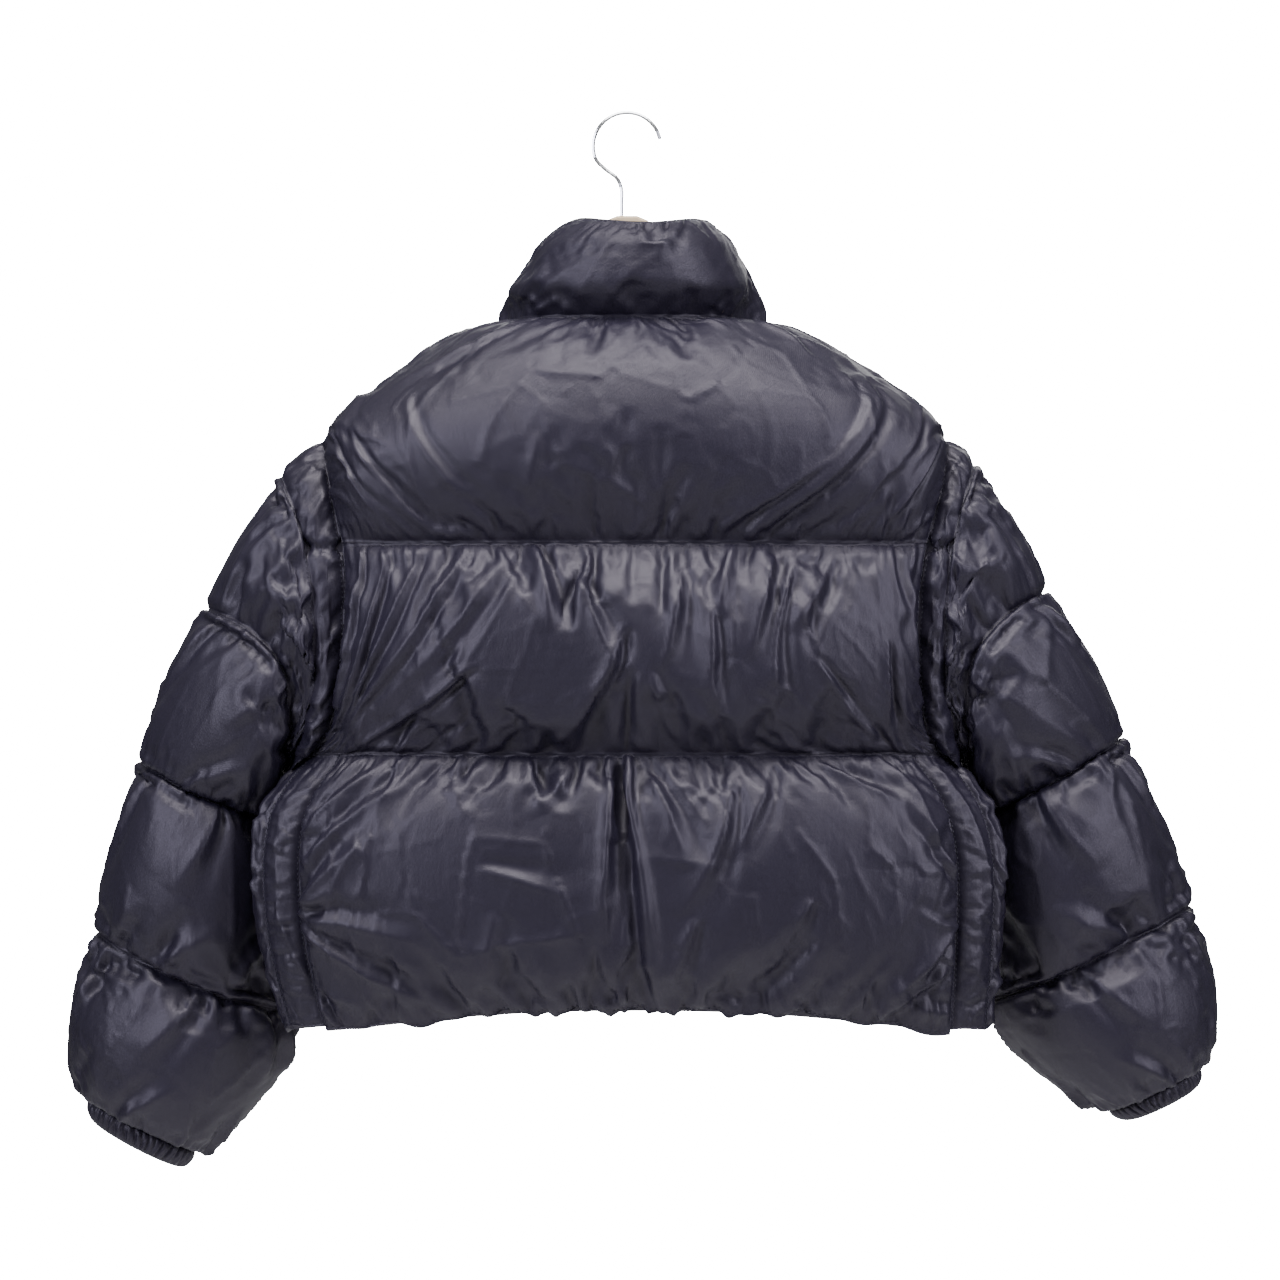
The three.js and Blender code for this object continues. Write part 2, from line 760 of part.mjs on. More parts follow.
// Pull tab, hanging from its crossbar. Its own frame has its origin on the crossbar.
function zipPull() {
  const half = 3.4;
  const plate = new THREE.Shape();
  plate.moveTo(-half, -1);
  plate.lineTo(-half, -pullLength + half);
  plate.absarc(0, -pullLength + half, half, Math.PI, 2 * Math.PI, false);
  plate.lineTo(half, -1);
  plate.lineTo(half - 1, pullWire / 2);
  plate.lineTo(-half + 1, pullWire / 2);
  const window = new THREE.Path([
    new THREE.Vector2(-1.9, -pullWire / 2),
    new THREE.Vector2(1.9, -pullWire / 2),
    new THREE.Vector2(1.9, -8),
    new THREE.Vector2(-1.9, -8),
  ]);
  plate.holes.push(window);
  const geometry = new THREE.ExtrudeGeometry(plate, { depth: 1.3, bevelEnabled: false, curveSegments: 8 });
  geometry.translate(0, 0, -0.65);
  geometry.rotateX(Math.PI / 2);
  return geometry;
}

// Hanger: a bent wire hook and a flat bar whose arms follow the inside of the shoulders.
const wireHalf = 1.6;
const hookRadius = 27;
const hookStart = 12; // degrees above level at the wire's free end
const stemX = -4.4;
const stemEnd = -81;

function hangerHook() {
  const points = [];
  for (let turn = hookStart; turn <= hookStart + 192; turn += 16) {
    points.push(new THREE.Vector3(
      hookRadius * Math.cos(turn * rad),
      0,
      wireHalf - hookRadius + hookRadius * Math.sin(turn * rad),
    ));
  }
  points.push(new THREE.Vector3(-17, 0, -44), new THREE.Vector3(-8, 0, -51));
  points.push(new THREE.Vector3(stemX, 0, -60), new THREE.Vector3(stemX, 0, -70));
  points.push(new THREE.Vector3(stemX, 0, stemEnd));
  const wire = new THREE.Shape();
  wire.absarc(0, 0, wireHalf, 0, 2 * Math.PI, false);
  return new THREE.ExtrudeGeometry(wire, {
    extrudePath: new THREE.CatmullRomCurve3(points),
    steps: 44,
    curveSegments: 4,
    bevelEnabled: false,
  });
}

const barThickness = 11;
const barDepth = 23;
const barSeat = 1.3; // how far the arm's top lies under the lining's ridge
const barEnd = 200;

// How high the lining's shoulder ridge is, a distance from the centre line on one side.
function ridgeHeight(side, across) {
  const knots = Array.from({ length: shoulderSteps + 1 }, (_, row) => levels.upper.height(row, 90));
  const reach = (height) => sectionAt(height).half + side * sectionAt(height).centre;
  const outer = Math.max(1, knots.findIndex((height) => reach(height) >= across));
  const share = (across - reach(knots[outer - 1])) / (reach(knots[outer]) - reach(knots[outer - 1]));
  return mix(knots[outer - 1], knots[outer], share);
}

// One half of the bar's outline, from the top of the hump out along the arm and back under it.
function barOutline(side) {
  const hump = [
    { across: 8, height: stemEnd - 0.3 },
    { across: 17, height: -85 },
    { across: 24, height: -99 },
    { across: 38, height: -119 },
    { across: 54, height: -141 },
    { across: 70, height: -163 },
    { across: 81, height: -174 },
  ];
  const arm = [];
  for (let across = 96; across <= barEnd; across += 13) {
    arm.push({ across, height: ridgeHeight(side, across) - barSeat });
  }
  const top = [...hump, ...arm];
  const tip = arm.at(-1);
  const under = arm.reverse().map((p) => ({ across: p.across * 0.985, height: p.height - barDepth }));
  const middle = [{ across: 60, height: -172 }, { across: 36, height: -144 }, { across: 13, height: -124 }];
  const outline = [...top, { across: tip.across + 4, height: tip.height - 9 }, ...under, ...middle];
  return outline.map((p) => new THREE.Vector2(side * p.across, p.height));
}

function hangerBar() {
  const outline = new THREE.Shape([...barOutline(1), ...barOutline(-1).reverse()]);
  const geometry = new THREE.ExtrudeGeometry(outline, {
    depth: barThickness - 4,
    bevelEnabled: true,
    bevelThickness: 2,
    bevelSize: 2,
    bevelOffset: -2,
    bevelSegments: 1,
  });
  geometry.translate(0, 0, -(barThickness - 4) / 2);
  geometry.rotateX(Math.PI / 2);
  return geometry;
}

// Materials and assembly
const nylon = new THREE.MeshStandardMaterial({ color: 0x1d1b28, roughness: 0.38, metalness: 0 });
const tapeCloth = new THREE.MeshStandardMaterial({ color: 0x17161f, roughness: 0.8, metalness: 0 });
const metal = new THREE.MeshStandardMaterial({ color: 0x8a8c92, roughness: 0.25, metalness: 1 });
const chrome = new THREE.MeshStandardMaterial({ color: 0xc9ccd0, roughness: 0.12, metalness: 1 });
const paleWood = new THREE.MeshStandardMaterial({ color: 0xd9c3a0, roughness: 0.55, metalness: 0 });

function named(name, geometry, material) {
  const mesh = new THREE.Mesh(geometry, material);
  mesh.name = name;
  return mesh;
}

const jacket = new THREE.Group();
jacket.add(
  named('back_upper', backBaffle(levels.upper, 44, 11, 7), nylon),
  named('back_middle', backBaffle(levels.middle, 44, 11, 2), nylon),
  named('back_lower', backBaffle(levels.lower, 48, 12, 2), nylon),
  named('collar', collar(), nylon),
);
for (const [sideName, side] of [['left', -1], ['right', 1]]) {
  const rings = sleeveRings[sideName];
  jacket.add(
    named(`front_${sideName}_upper`, frontBaffle(levels.upper, side, 18, 4.5, 7), nylon),
    named(`front_${sideName}_middle`, frontBaffle(levels.middle, side, 16, 4, 2), nylon),
    named(`front_${sideName}_lower`, frontBaffle(levels.lower, side, 22, 5, 2), nylon),
    named(`side_${sideName}`, sidePanel(side), nylon),
    named(`armhole_band_${sideName}`, armholeBand(side, rings), nylon),
    named(`cuff_${sideName}`, cuff(rings), nylon),
    named(`zip_tape_${sideName}`, zipTape(side), tapeCloth),
  );
  for (const [number, puffs] of sleevePuffs[sideName].entries()) {
    jacket.add(named(`sleeve_${sideName}_${number + 1}`, sleeveBaffle(rings, puffs, number), nylon));
  }
}

// The slider sits near the top of the closed zip, square to the collar's front.
const sliderShare = 0.8;
const sliderFoot = collarPoint(180, sliderShare);
const zipUp = collarPoint(180, sliderShare + 0.05).sub(collarPoint(180, sliderShare - 0.05));
const slider = new THREE.Group();
slider.position.set(0, sliderFoot.y, sliderFoot.z);
slider.rotation.x = Math.atan2(-zipUp.y, zipUp.z);
const pull = named('zip_pull', zipPull(), metal);
pull.position.y = lugCentre;
slider.add(named('zip_slider', zipSlider(), metal), pull);

const part = new THREE.Group();
part.add(
  jacket,
  slider,
  named('hanger_hook', hangerHook(), chrome),
  named('hanger_bar', hangerBar(), paleWood),
);

export default part;
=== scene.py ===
# %% [markdown]
# A short down jacket on a hanger, seen from behind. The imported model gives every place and
# size in metres. The cloth is made here: each quilted baffle is worked out as a surface with
# numpy, blown up by Blender's Cloth, and then gets its creases and the small puckers of its
# seams.

# %% Start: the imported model
import bpy
import numpy as np
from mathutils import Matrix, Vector


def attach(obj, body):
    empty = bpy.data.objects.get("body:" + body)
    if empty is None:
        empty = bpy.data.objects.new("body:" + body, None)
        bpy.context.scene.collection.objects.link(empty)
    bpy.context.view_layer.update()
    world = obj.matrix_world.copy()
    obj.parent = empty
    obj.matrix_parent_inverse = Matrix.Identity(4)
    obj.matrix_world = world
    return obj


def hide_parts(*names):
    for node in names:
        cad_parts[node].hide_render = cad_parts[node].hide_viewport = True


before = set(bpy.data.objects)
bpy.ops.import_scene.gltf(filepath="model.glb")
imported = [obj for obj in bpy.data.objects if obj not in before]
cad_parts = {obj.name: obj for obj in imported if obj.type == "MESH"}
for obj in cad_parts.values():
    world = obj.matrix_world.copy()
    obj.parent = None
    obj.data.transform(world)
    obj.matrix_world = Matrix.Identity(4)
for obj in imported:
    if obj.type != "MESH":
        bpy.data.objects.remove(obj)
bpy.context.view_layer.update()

chance = np.random.default_rng(7)

# %% [markdown]
# The camera stands four metres behind the jacket, level with its middle. A long lens keeps
# the jacket's proportions, as in a catalogue picture.

# %% Camera
camera_data = bpy.data.cameras.new("camera")
camera = bpy.data.objects.new("camera", camera_data)
bpy.context.scene.collection.objects.link(camera)
bpy.context.scene.camera = camera
distance = 4.0
view_width = 1.024
camera.location = (0.0104, -distance, -0.4204)
camera.rotation_euler = (np.pi / 2, 0, 0)
camera_data.sensor_width = 36
camera_data.lens = 36 * distance / view_width
camera_data.clip_end = 60
print("lens", round(camera_data.lens, 1))

# %% [markdown]
# A pale room: a plain floor well below the jacket, a wide soft lamp overhead and two weak
# ones at the sides. Down-proof nylon is dark and shiny, so most of what we see of it is the
# reflection of these lamps.

# %% Stage and light
def pale_floor(height, half):
    """A square at one height, from -half to half both ways."""
    mesh = bpy.data.meshes.new("floor")
    corners = [(-half, -half, height), (half, -half, height), (half, half, height), (-half, half, height)]
    mesh.from_pydata(corners, [], [(0, 1, 2, 3)])
    floor = bpy.data.objects.new("floor", mesh)
    bpy.context.scene.collection.objects.link(floor)
    return floor


def soft_lamp(name, place, aim, size, power, tint=(1, 1, 1)):
    """A rectangular lamp: its place, where it points, its size, its power in watts and tint."""
    lamp_data = bpy.data.lights.new(name, "AREA")
    lamp_data.shape = "RECTANGLE"
    lamp_data.size, lamp_data.size_y = size
    lamp_data.energy = power
    lamp_data.color = tint
    lamp = bpy.data.objects.new(name, lamp_data)
    lamp.location = place
    lamp.rotation_euler = (Vector(aim) - Vector(place)).to_track_quat("-Z", "Y").to_euler()
    bpy.context.scene.collection.objects.link(lamp)
    return lamp


floor = pale_floor(-2.2, 8.0)
chest = (0, 0, -0.45)
soft_lamp("overhead", (0, -0.9, 1.5), chest, (2.2, 0.9), 92)
soft_lamp("left_window", (-2.6, -2.2, 0.5), chest, (0.8, 1.8), 86, (0.84, 0.85, 1.0))
soft_lamp("right_window", (2.6, -1.8, 0.4), chest, (0.8, 1.8), 66, (0.87, 0.87, 1.0))
soft_lamp("front", (0.4, 2.6, 0.9), chest, (2.4, 1.6), 45)

# %% [markdown]
# Shader maths reads best as plain expressions. A small class holds a node's socket, so that
# a sum or a product of two of them adds the Math node that does it.

# %% Sockets that can be added and multiplied
class Value:
    """A socket of a node tree, with arithmetic."""

    def __init__(self, tree, socket):
        self.tree, self.socket = tree, socket

    def node(self, kind, settings=None, out=0, **sockets):
        """Any node: its type, its settings, and the values or links of its sockets."""
        node = self.tree.nodes.new(kind)
        for name, value in (settings or {}).items():
            if name == "stops":
                ramp = node.color_ramp
                while len(ramp.elements) < len(value):
                    ramp.elements.new(0.5)
                for element, (place, tone) in zip(ramp.elements, value):
                    element.position = place
                    element.color = (tone, tone, tone, 1)
            else:
                setattr(node, name, value)
        for name, value in sockets.items():
            key = int(name[1:]) if name[0] == "_" else name.replace("_", " ")
            if isinstance(value, Value):
                self.tree.links.new(value.socket, node.inputs[key])
            else:
                node.inputs[key].default_value = value
        return Value(self.tree, node.outputs[out])

    def math(self, operation, *values):
        return self.node(
            "ShaderNodeMath",
            {"operation": operation},
            **{f"_{k}": value for k, value in enumerate(values)},
        )

    def __add__(self, other):
        return self.math("ADD", self, other)

    def __sub__(self, other):
        return self.math("SUBTRACT", self, other)

    def __rsub__(self, other):
        return self.math("SUBTRACT", other, self)

    def __mul__(self, other):
        return self.math("MULTIPLY", self, other)

    def __pow__(self, other):
        return self.math("POWER", self, other)

    __radd__ = __add__
    __rmul__ = __mul__


print("socket arithmetic ready")

# %% [markdown]
# World light: soft and nearly even, a little brighter from above. The camera itself sees
# plain white, as behind a cut-out picture.

# %% World
world = bpy.data.worlds.new("room")
bpy.context.scene.world = world
world.use_nodes = True
world_tree = world.node_tree
world_tree.nodes.clear()
start = Value(world_tree, None)
room_direction = start.node("ShaderNodeTexCoord", out="Generated")
room_height = start.node("ShaderNodeSeparateXYZ", out="Z", Vector=room_direction)
room_tone = start.node(
    "ShaderNodeValToRGB",
    {"stops": [(0.0, 0.01), (0.42, 0.03), (0.56, 0.11), (1.0, 0.5)]},
    Fac=room_height * 0.5 + 0.5,
)
seen = start.node("ShaderNodeLightPath", out="Is Camera Ray")
room_light = start.node("ShaderNodeBackground", Color=room_tone, Strength=1.0)
room_white = start.node("ShaderNodeBackground", Color=(1, 1, 1, 1), Strength=40.0)
room = start.node("ShaderNodeMixShader", _0=seen, _1=room_light, _2=room_white)
world_output = world_tree.nodes.new("ShaderNodeOutputWorld")
world_tree.links.new(room.socket, world_output.inputs["Surface"])
print("world nodes", len(world_tree.nodes))

# %% [markdown]
# The jacket's inner wall is an oval tube whose size changes with height, like a dressmaker's
# form that follows the hanger. The rows below give that oval at each height, in millimetres:
# its centre, its half width, its middle from back to front, and its depth behind and before.

# %% The inner wall
MM = 0.001
RAD = np.pi / 180
SEAM_WALL = 3.0
TIP, YOKE, WAIST = -264.0, -344.0, -510.0
ARM_MIDDLE, ARM_HALF, ARM_ANGLE = (TIP + WAIST) / 2, (TIP - WAIST) / 2, 31.0
BODY_ROWS = np.array([
    (-760, 10, 272, -34, 47, 104),
    (-731, 9, 276, -34, 48, 106),
    (-660, 3, 287, -34, 52, 110),
    (-600, 1, 290, -34, 52, 110),
    (-562, 0, 284, -32, 54, 108),
    (-536, 0, 271, -26, 60, 102),
    (-510, 0, 254, -16, 71, 92),
    (-460, 2, 261, -4, 84, 80),
    (-400, 4, 264, 0, 88, 76),
    (-344, 6, 264, 0, 88, 76),
    (-300, 7, 260, 0, 87, 75),
    (-264, 7, 242, 0, 84, 73),
    (-228, 6, 192, 0, 78, 69),
    (-199, 5, 156, 0, 71, 64),
    (-183, 4, 128, 0, 66, 60),
    (-171, 0, 95, 0, 60, 56),
    (-155, 0, 62, 0, 52, 50),
], float)


def mix(a, b, share):
    return a + (b - a) * share


def smooth(x, low, high):
    """0 below low, 1 above high, with a soft S between them."""
    t = np.clip((x - low) / (high - low), 0, 1)
    return t * t * (3 - 2 * t)


def length(vectors):
    return np.sqrt((vectors * vectors).sum(-1))


def unit(vectors):
    return vectors / np.maximum(length(vectors), 1e-9)[..., None]


def hermite(knots, values, at):
    """Cubic through the knots: the slope at each is the slope between its two neighbours."""
    slopes = np.gradient(values, knots, axis=0)
    slopes[1:-1] = (values[2:] - values[:-2]) / (knots[2:] - knots[:-2])[:, None]
    at = np.clip(at, knots[0], knots[-1])
    k = np.clip(np.searchsorted(knots, at) - 1, 0, len(knots) - 2)
    span = (knots[k + 1] - knots[k])[..., None]
    t = (at[..., None] - knots[k][..., None]) / span
    return (
        values[k] * (2 * t**3 - 3 * t**2 + 1)
        + values[k + 1] * (3 * t**2 - 2 * t**3)
        + slopes[k] * span * (t**3 - 2 * t**2 + t)
        + slopes[k + 1] * span * (t**3 - t**2)
    )


def body_point(angle, height):
    """The oval at a height: centre + half width * sine, middle - depth * cosine of the angle.
    Angle 0 is the centre back, 90 the side at +X and 180 the centre front."""
    angle, height = np.broadcast_arrays(np.asarray(angle, float), np.asarray(height, float))
    centre, half, middle, back, front = np.moveaxis(hermite(BODY_ROWS[:, 0], BODY_ROWS[:, 1:], height), -1, 0)
    to_back = np.cos(angle * RAD)
    depth = np.where(to_back > 0, back, front)
    return np.stack([centre + half * np.sin(angle * RAD), middle - depth * to_back, height], -1)


def body_normal(angle, height):
    around = body_point(angle + 0.5, height) - body_point(angle - 0.5, height)
    down = body_point(angle, height - 1) - body_point(angle, height + 1)
    return unit(np.cross(down, around))


def neck_height(angle):
    return -166 - 45 * ((1 - np.cos(angle * RAD)) / 2) ** 4


def hem_height(angle):
    return -711 - 18 * np.sin(angle * RAD) ** 2


def arm_spread(height):
    """Half the armhole's width in degrees: a rounded loop, squarer below than above."""
    level = np.minimum(1, np.abs(height - ARM_MIDDLE) / ARM_HALF)
    power = np.where(height > ARM_MIDDLE, 2, 3)
    return ARM_ANGLE * (1 - level**power) ** (1 / power)


def arm_distance(angle, height):
    """1 on the armhole's edge, and more outside it."""
    power = np.where(height > ARM_MIDDLE, 2, 3)
    across = np.abs(np.abs(angle) - 90) / ARM_ANGLE
    level = np.abs(height - ARM_MIDDLE) / ARM_HALF
    return (across**power + level**power) ** (1 / power)


def body_direction(angle, height):
    """The way the padding stands out: the wall's normal, leaning away from armhole and neck."""
    point = body_point(angle, height)
    near_arm = 1 - smooth(arm_distance(angle, height), 1, 1.45)
    near_neck = 1 - smooth(neck_height(angle) - height, 0, 16)
    zero = np.zeros_like(point[..., 0])
    from_arm = unit(np.stack([zero, (point[..., 1] + 2) / 50, (point[..., 2] - ARM_MIDDLE) / ARM_HALF], -1))
    from_neck = unit(point * (1, 1, 0))
    return unit(
        body_normal(angle, height) + from_arm * near_arm[..., None] + from_neck * near_neck[..., None]
    )


def rise(reach, over):
    """A quarter circle: 0 at the seam, 1 at the given distance from it and beyond."""
    rest = 1 - np.clip(reach / over, 0, 1)
    return np.sqrt(1 - rest * rest)


print("waist", body_point(np.array([0.0, 90.0, 180.0]), WAIST).round(1).tolist())

# %% [markdown]
# The quilting lines cut the wall into three levels. The armhole is a loop of stations, from
# the shoulder tip down the back, under the arm and up the front. The rows of the two upper
# levels follow those stations, so that sleeve band and body share their edge.

# %% Levels and edges of the body's baffles
UPPER_STEPS, MIDDLE_STEPS, SHOULDER_STEPS = 4, 8, 3
HALF_STATIONS = UPPER_STEPS + MIDDLE_STEPS
SIDE_SEAM_BACK, SIDE_SEAM_FRONT = 62.5, 80.0
YOKE_TURN = np.arccos((YOKE - ARM_MIDDLE) / ARM_HALF) / RAD


def first_turns():
    upper = mix(0, YOKE_TURN, np.arange(UPPER_STEPS + 1) / UPPER_STEPS)
    below = mix(180, YOKE_TURN, (1 - np.arange(1, MIDDLE_STEPS + 1) / MIDDLE_STEPS) ** 1.25)
    half = np.concatenate([upper, below])
    return np.concatenate([half, 360 - half[-2::-1]])


TURNS = first_turns()


def station_turn(station):
    return np.interp(station, np.arange(len(TURNS)), TURNS)


def station_height(station):
    return ARM_MIDDLE + ARM_HALF * np.cos(station_turn(station) * RAD)


def body_rows(level, share, angle, edge_height, side_weight):
    """Heights inside a level: even between its seams, and at its side edges those of the edge."""
    top, bottom = level_seams(level, angle)
    return mix(mix(top, bottom, share), edge_height, side_weight)


def level_seams(level, angle):
    """The heights of a level's upper and lower seams at an angle."""
    angle = np.asarray(angle, float)
    if level == "upper":
        return neck_height(angle), YOKE + 0 * angle
    if level == "middle":
        return YOKE + 0 * angle, WAIST + 0 * angle
    return WAIST + 0 * angle, hem_height(angle)


def arm_edge(station, sign, high, low):
    """Angle and height of the armhole's edge, its heights drawn in between high and low."""
    height = station_height(station)
    ends = station_height(np.array([station.min(), station.max()], float))
    drawn = mix(high, low, (ends[0] - height) / (ends[0] - ends[1]))
    return 90 + sign * arm_spread(height), drawn


def level_edge(level, share, side):
    """A level's side edge, from its upper seam to its lower one: angles and heights."""
    sign = -1 if side == "back" else 1
    if level == "lower":
        height = mix(WAIST, hem_height(90.0), share)
        return (SIDE_SEAM_BACK if side == "back" else SIDE_SEAM_FRONT) + 0 * height, height
    if level == "middle":
        return arm_edge(UPPER_STEPS + share * MIDDLE_STEPS, sign, YOKE, WAIST)
    row = share * (SHOULDER_STEPS + UPPER_STEPS)
    on_shoulder = row < SHOULDER_STEPS
    seam = 90 + 15 * (1 - np.clip(row / SHOULDER_STEPS, 0, 1))
    height = mix(neck_height(seam), TIP, np.clip(row / SHOULDER_STEPS, 0, 1))
    station = np.clip(row - SHOULDER_STEPS, 0, UPPER_STEPS)
    arm, arm_height = arm_edge(station, sign, TIP, YOKE)
    return np.where(on_shoulder, seam, arm), np.where(on_shoulder, height, arm_height)


ZIP_HALF = 9.8


def zip_angle(side, point_at):
    """The angle near the centre front where the wall meets the zip tape's edge, by halving."""
    low, high = 150 + 0 * point_at(150)[..., 0], 180 + 0 * point_at(150)[..., 0]
    for _ in range(24):
        angle = (low + high) / 2
        outside = side * point_at(side * angle)[..., 0] > ZIP_HALF
        low, high = np.where(outside, angle, low), np.where(outside, high, angle)
    return (low + high) / 2


print("stations", len(TURNS), "yoke edge", level_edge("middle", np.array([0.0, 1.0]), "back")[0].round(1))

# %% [markdown]
# Each baffle starts as a smooth pad: the wall's point, the way out of it, and a thickness
# that is a seam's at the edges and swells between them. A pad is a grid of rows from its top
# seam to its bottom seam.

# %% The pads' forms
def grid_of(width, height, spacing, closed=False):
    """Shares across and down for a grid of about this spacing."""
    columns = max(6, int(round(width / spacing)))
    rows = max(4, int(round(height / spacing)))
    across = np.arange(columns) / columns if closed else np.arange(columns + 1) / columns
    return np.meshgrid(across, np.arange(rows + 1) / rows)


def body_pad(level, side, width, height, puff, at_side=0.35):
    """A baffle of the body. side is back, left or right, or panel_left or panel_right."""
    u, v = grid_of(width, height, SPACING)
    sign = -1 if side.endswith("left") else 1
    if side == "back":
        end, edge_height = level_edge(level, v, "back")
        start, side_weight = -end, np.abs(2 * u - 1) ** 3
        far_height = edge_height
    elif side.startswith("panel"):
        edge_height = far_height = level_edge(level, v, "front")[1]
        start = sign * SIDE_SEAM_BACK + 0 * u
        end, side_weight = sign * SIDE_SEAM_FRONT + 0 * u, 0 * u
    else:
        start, edge_height = level_edge(level, v, "front")
        start, side_weight = sign * start, (1 - u) ** 3
        far_height = mix(*level_seams(level, 180.0), v)
        end = sign * zip_angle(sign, lambda angle: body_point(angle, far_height))
    angle = mix(start, end, u)
    z = body_rows(level, v, angle, edge_height, side_weight)
    top, bottom = level_seams(level, angle)
    down = np.clip((top - z) / (top - bottom), 0, 1)
    point = body_point(angle, z)
    edge = np.minimum(length(point - point[:, :1]), length(point - point[:, -1:]))
    edge = np.minimum(edge, (arm_distance(angle, z) - 1) * ARM_HALF)
    pit = smooth(-z, 470, 500) * (1 - smooth(arm_distance(angle, z), 1, 1.35))
    over_ridge = 1 - at_side * np.abs(np.sin(angle * RAD)) ** 6
    swell = puff * (4 * down * (1 - down)) ** 0.7 * rise(edge, 34) * over_ridge * (1 - 0.25 * pit)
    return point, body_direction(angle, z), SEAM_WALL + swell


SPACING = 7.0
print("yoke grid", body_pad("upper", "back", 490, 180, 27)[0].shape)

# %% [markdown]
# A sleeve is four rings of padding between five tilted seams. Each seam is given by its outer
# and inner ends, as seen from behind, and its depth. The band round the armhole is one more
# ring, from the body's edge to the first seam.

# %% Sleeves and bands
RING_COLUMNS = ["outer_x", "outer_z", "inner_x", "inner_z", "middle_y", "half_depth", "inward", "upward"]
SLEEVE_RINGS = {
    "left": [
        (-276, -293, -266, -510, -1, 49, 24, 0),
        (-335, -399, -278, -520, 18, 58, 32, 19),
        (-387, -520, -288, -562, 50, 57, 0, -6),
        (-426, -658, -279, -720, 60, 57, 0, -5),
        (-433, -793, -354, -832, 60, 37, 0, 0),
        (-432, -811, -364, -847, 60, 34, 0, 0),
    ],
    "right": [
        (277, -284, 266, -510, -1, 49, 20, 0),
        (332, -387, 278, -520, 18, 58, 30, 19),
        (394, -502, 288, -562, 50, 57, 0, -2),
        (453, -637, 300, -711, 60, 57, 0, 0),
        (460, -767, 394, -800, 60, 37, 0, 0),
        (461, -783, 409, -809, 60, 33, 0, 0),
    ],
}
# outer, back, inner, front
BAND_PUFFS = (6, 9, 18, 8)
SLEEVE_PUFFS = {
    "left": [(6, 19, 8, 16), (5, 21, 10, 17), (4, 21, 4, 18), (19, 22, 22, 19)],
    "right": [(12, 19, 8, 16), (8, 21, 10, 17), (4, 21, 4, 18), (18, 22, 17, 19)],
}


def ring_end(ring, turn):
    """A seam's point and outward direction at a turn: an oval on its chord, bowed inwards."""
    r = dict(zip(RING_COLUMNS, ring))
    cos, sin = np.cos(turn * RAD), np.sin(turn * RAD)
    bow = sin**2
    half_x, half_z = (r["outer_x"] - r["inner_x"]) / 2, (r["outer_z"] - r["inner_z"]) / 2
    point = np.stack([
        r["inner_x"] + half_x + half_x * cos - r["inward"] * bow * np.sign(r["outer_x"]),
        r["middle_y"] - r["half_depth"] * sin,
        r["inner_z"] + half_z + half_z * cos + r["upward"] * bow,
    ], -1)
    chord = np.array([half_x, 0, half_z]) / (half_x**2 + half_z**2)
    direction = chord * cos[..., None]
    direction[..., 1] -= sin / r["half_depth"]
    return point, unit(direction)


def arm_end(side, turn_place):
    """The body's armhole edge, with straight stretches between its stations."""
    stations = np.arange(len(TURNS))
    height = station_height(stations)
    spread = arm_spread(height)
    angle = side * np.where(stations <= HALF_STATIONS, 90 - spread, 90 + spread)
    points, directions = body_point(angle, height), body_direction(angle, height)
    between = lambda values: np.stack([np.interp(turn_place, stations, values[:, k]) for k in range(3)], -1)
    return between(points), between(directions)


def puff_round(puffs, turn):
    outer, back, inner, front = puffs
    outward, backward = np.cos(turn * RAD), np.sin(turn * RAD)
    sideways = np.where(outward > 0, outer, inner) * outward**2
    return sideways + np.where(backward > 0, back, front) * backward**2


def ring_pad(side, number, width, height):
    """Padding between two seams. Number 0 is the armhole band, and 1 to 4 are the sleeve's."""
    rings = SLEEVE_RINGS[side]
    u, v = grid_of(width, height, SPACING, closed=True)
    place = u * (len(TURNS) - 1)
    turn = station_turn(place) if number < 2 else u * 360
    if number == 0:
        start, end = arm_end(-1 if side == "left" else 1, place), ring_end(rings[0], turn)
        puffs = BAND_PUFFS
    else:
        start, end = ring_end(rings[number - 1], turn), ring_end(rings[number], turn)
        puffs = SLEEVE_PUFFS[side][number - 1]
    share = v[..., None]
    sunk = v ** (1.2 + 0.5 * np.cos(turn * RAD)) if number == 4 else v
    swell = puff_round(puffs, turn) * (4 * sunk * (1 - sunk)) ** 0.7
    return mix(start[0], end[0], share), unit(mix(start[1], end[1], share)), SEAM_WALL + swell


print("sleeve seams a side", len(SLEEVE_RINGS["left"]))

# %% [markdown]
# The collar is a short tube from the neck seam to a gathered top, open at the centre front.

# %% Collar
def collar_point(angle, share):
    """From the neck seam straight to the top's oval, bowed out by a parabola."""
    base = body_point(angle, neck_height(angle))
    to_back = np.cos(angle * RAD)
    top = np.stack([
        10 + 41 * np.sin(angle * RAD),
        -6 - np.where(to_back > 0, 50, 46) * to_back,
        -98 + 5 * to_back + 9 * np.sin(angle * RAD) ** 2,
    ], -1)
    bow = 5 * 4 * share * (1 - share)
    return mix(base, top, share[..., None]) + unit(base * (1, 1, 0)) * bow[..., None]


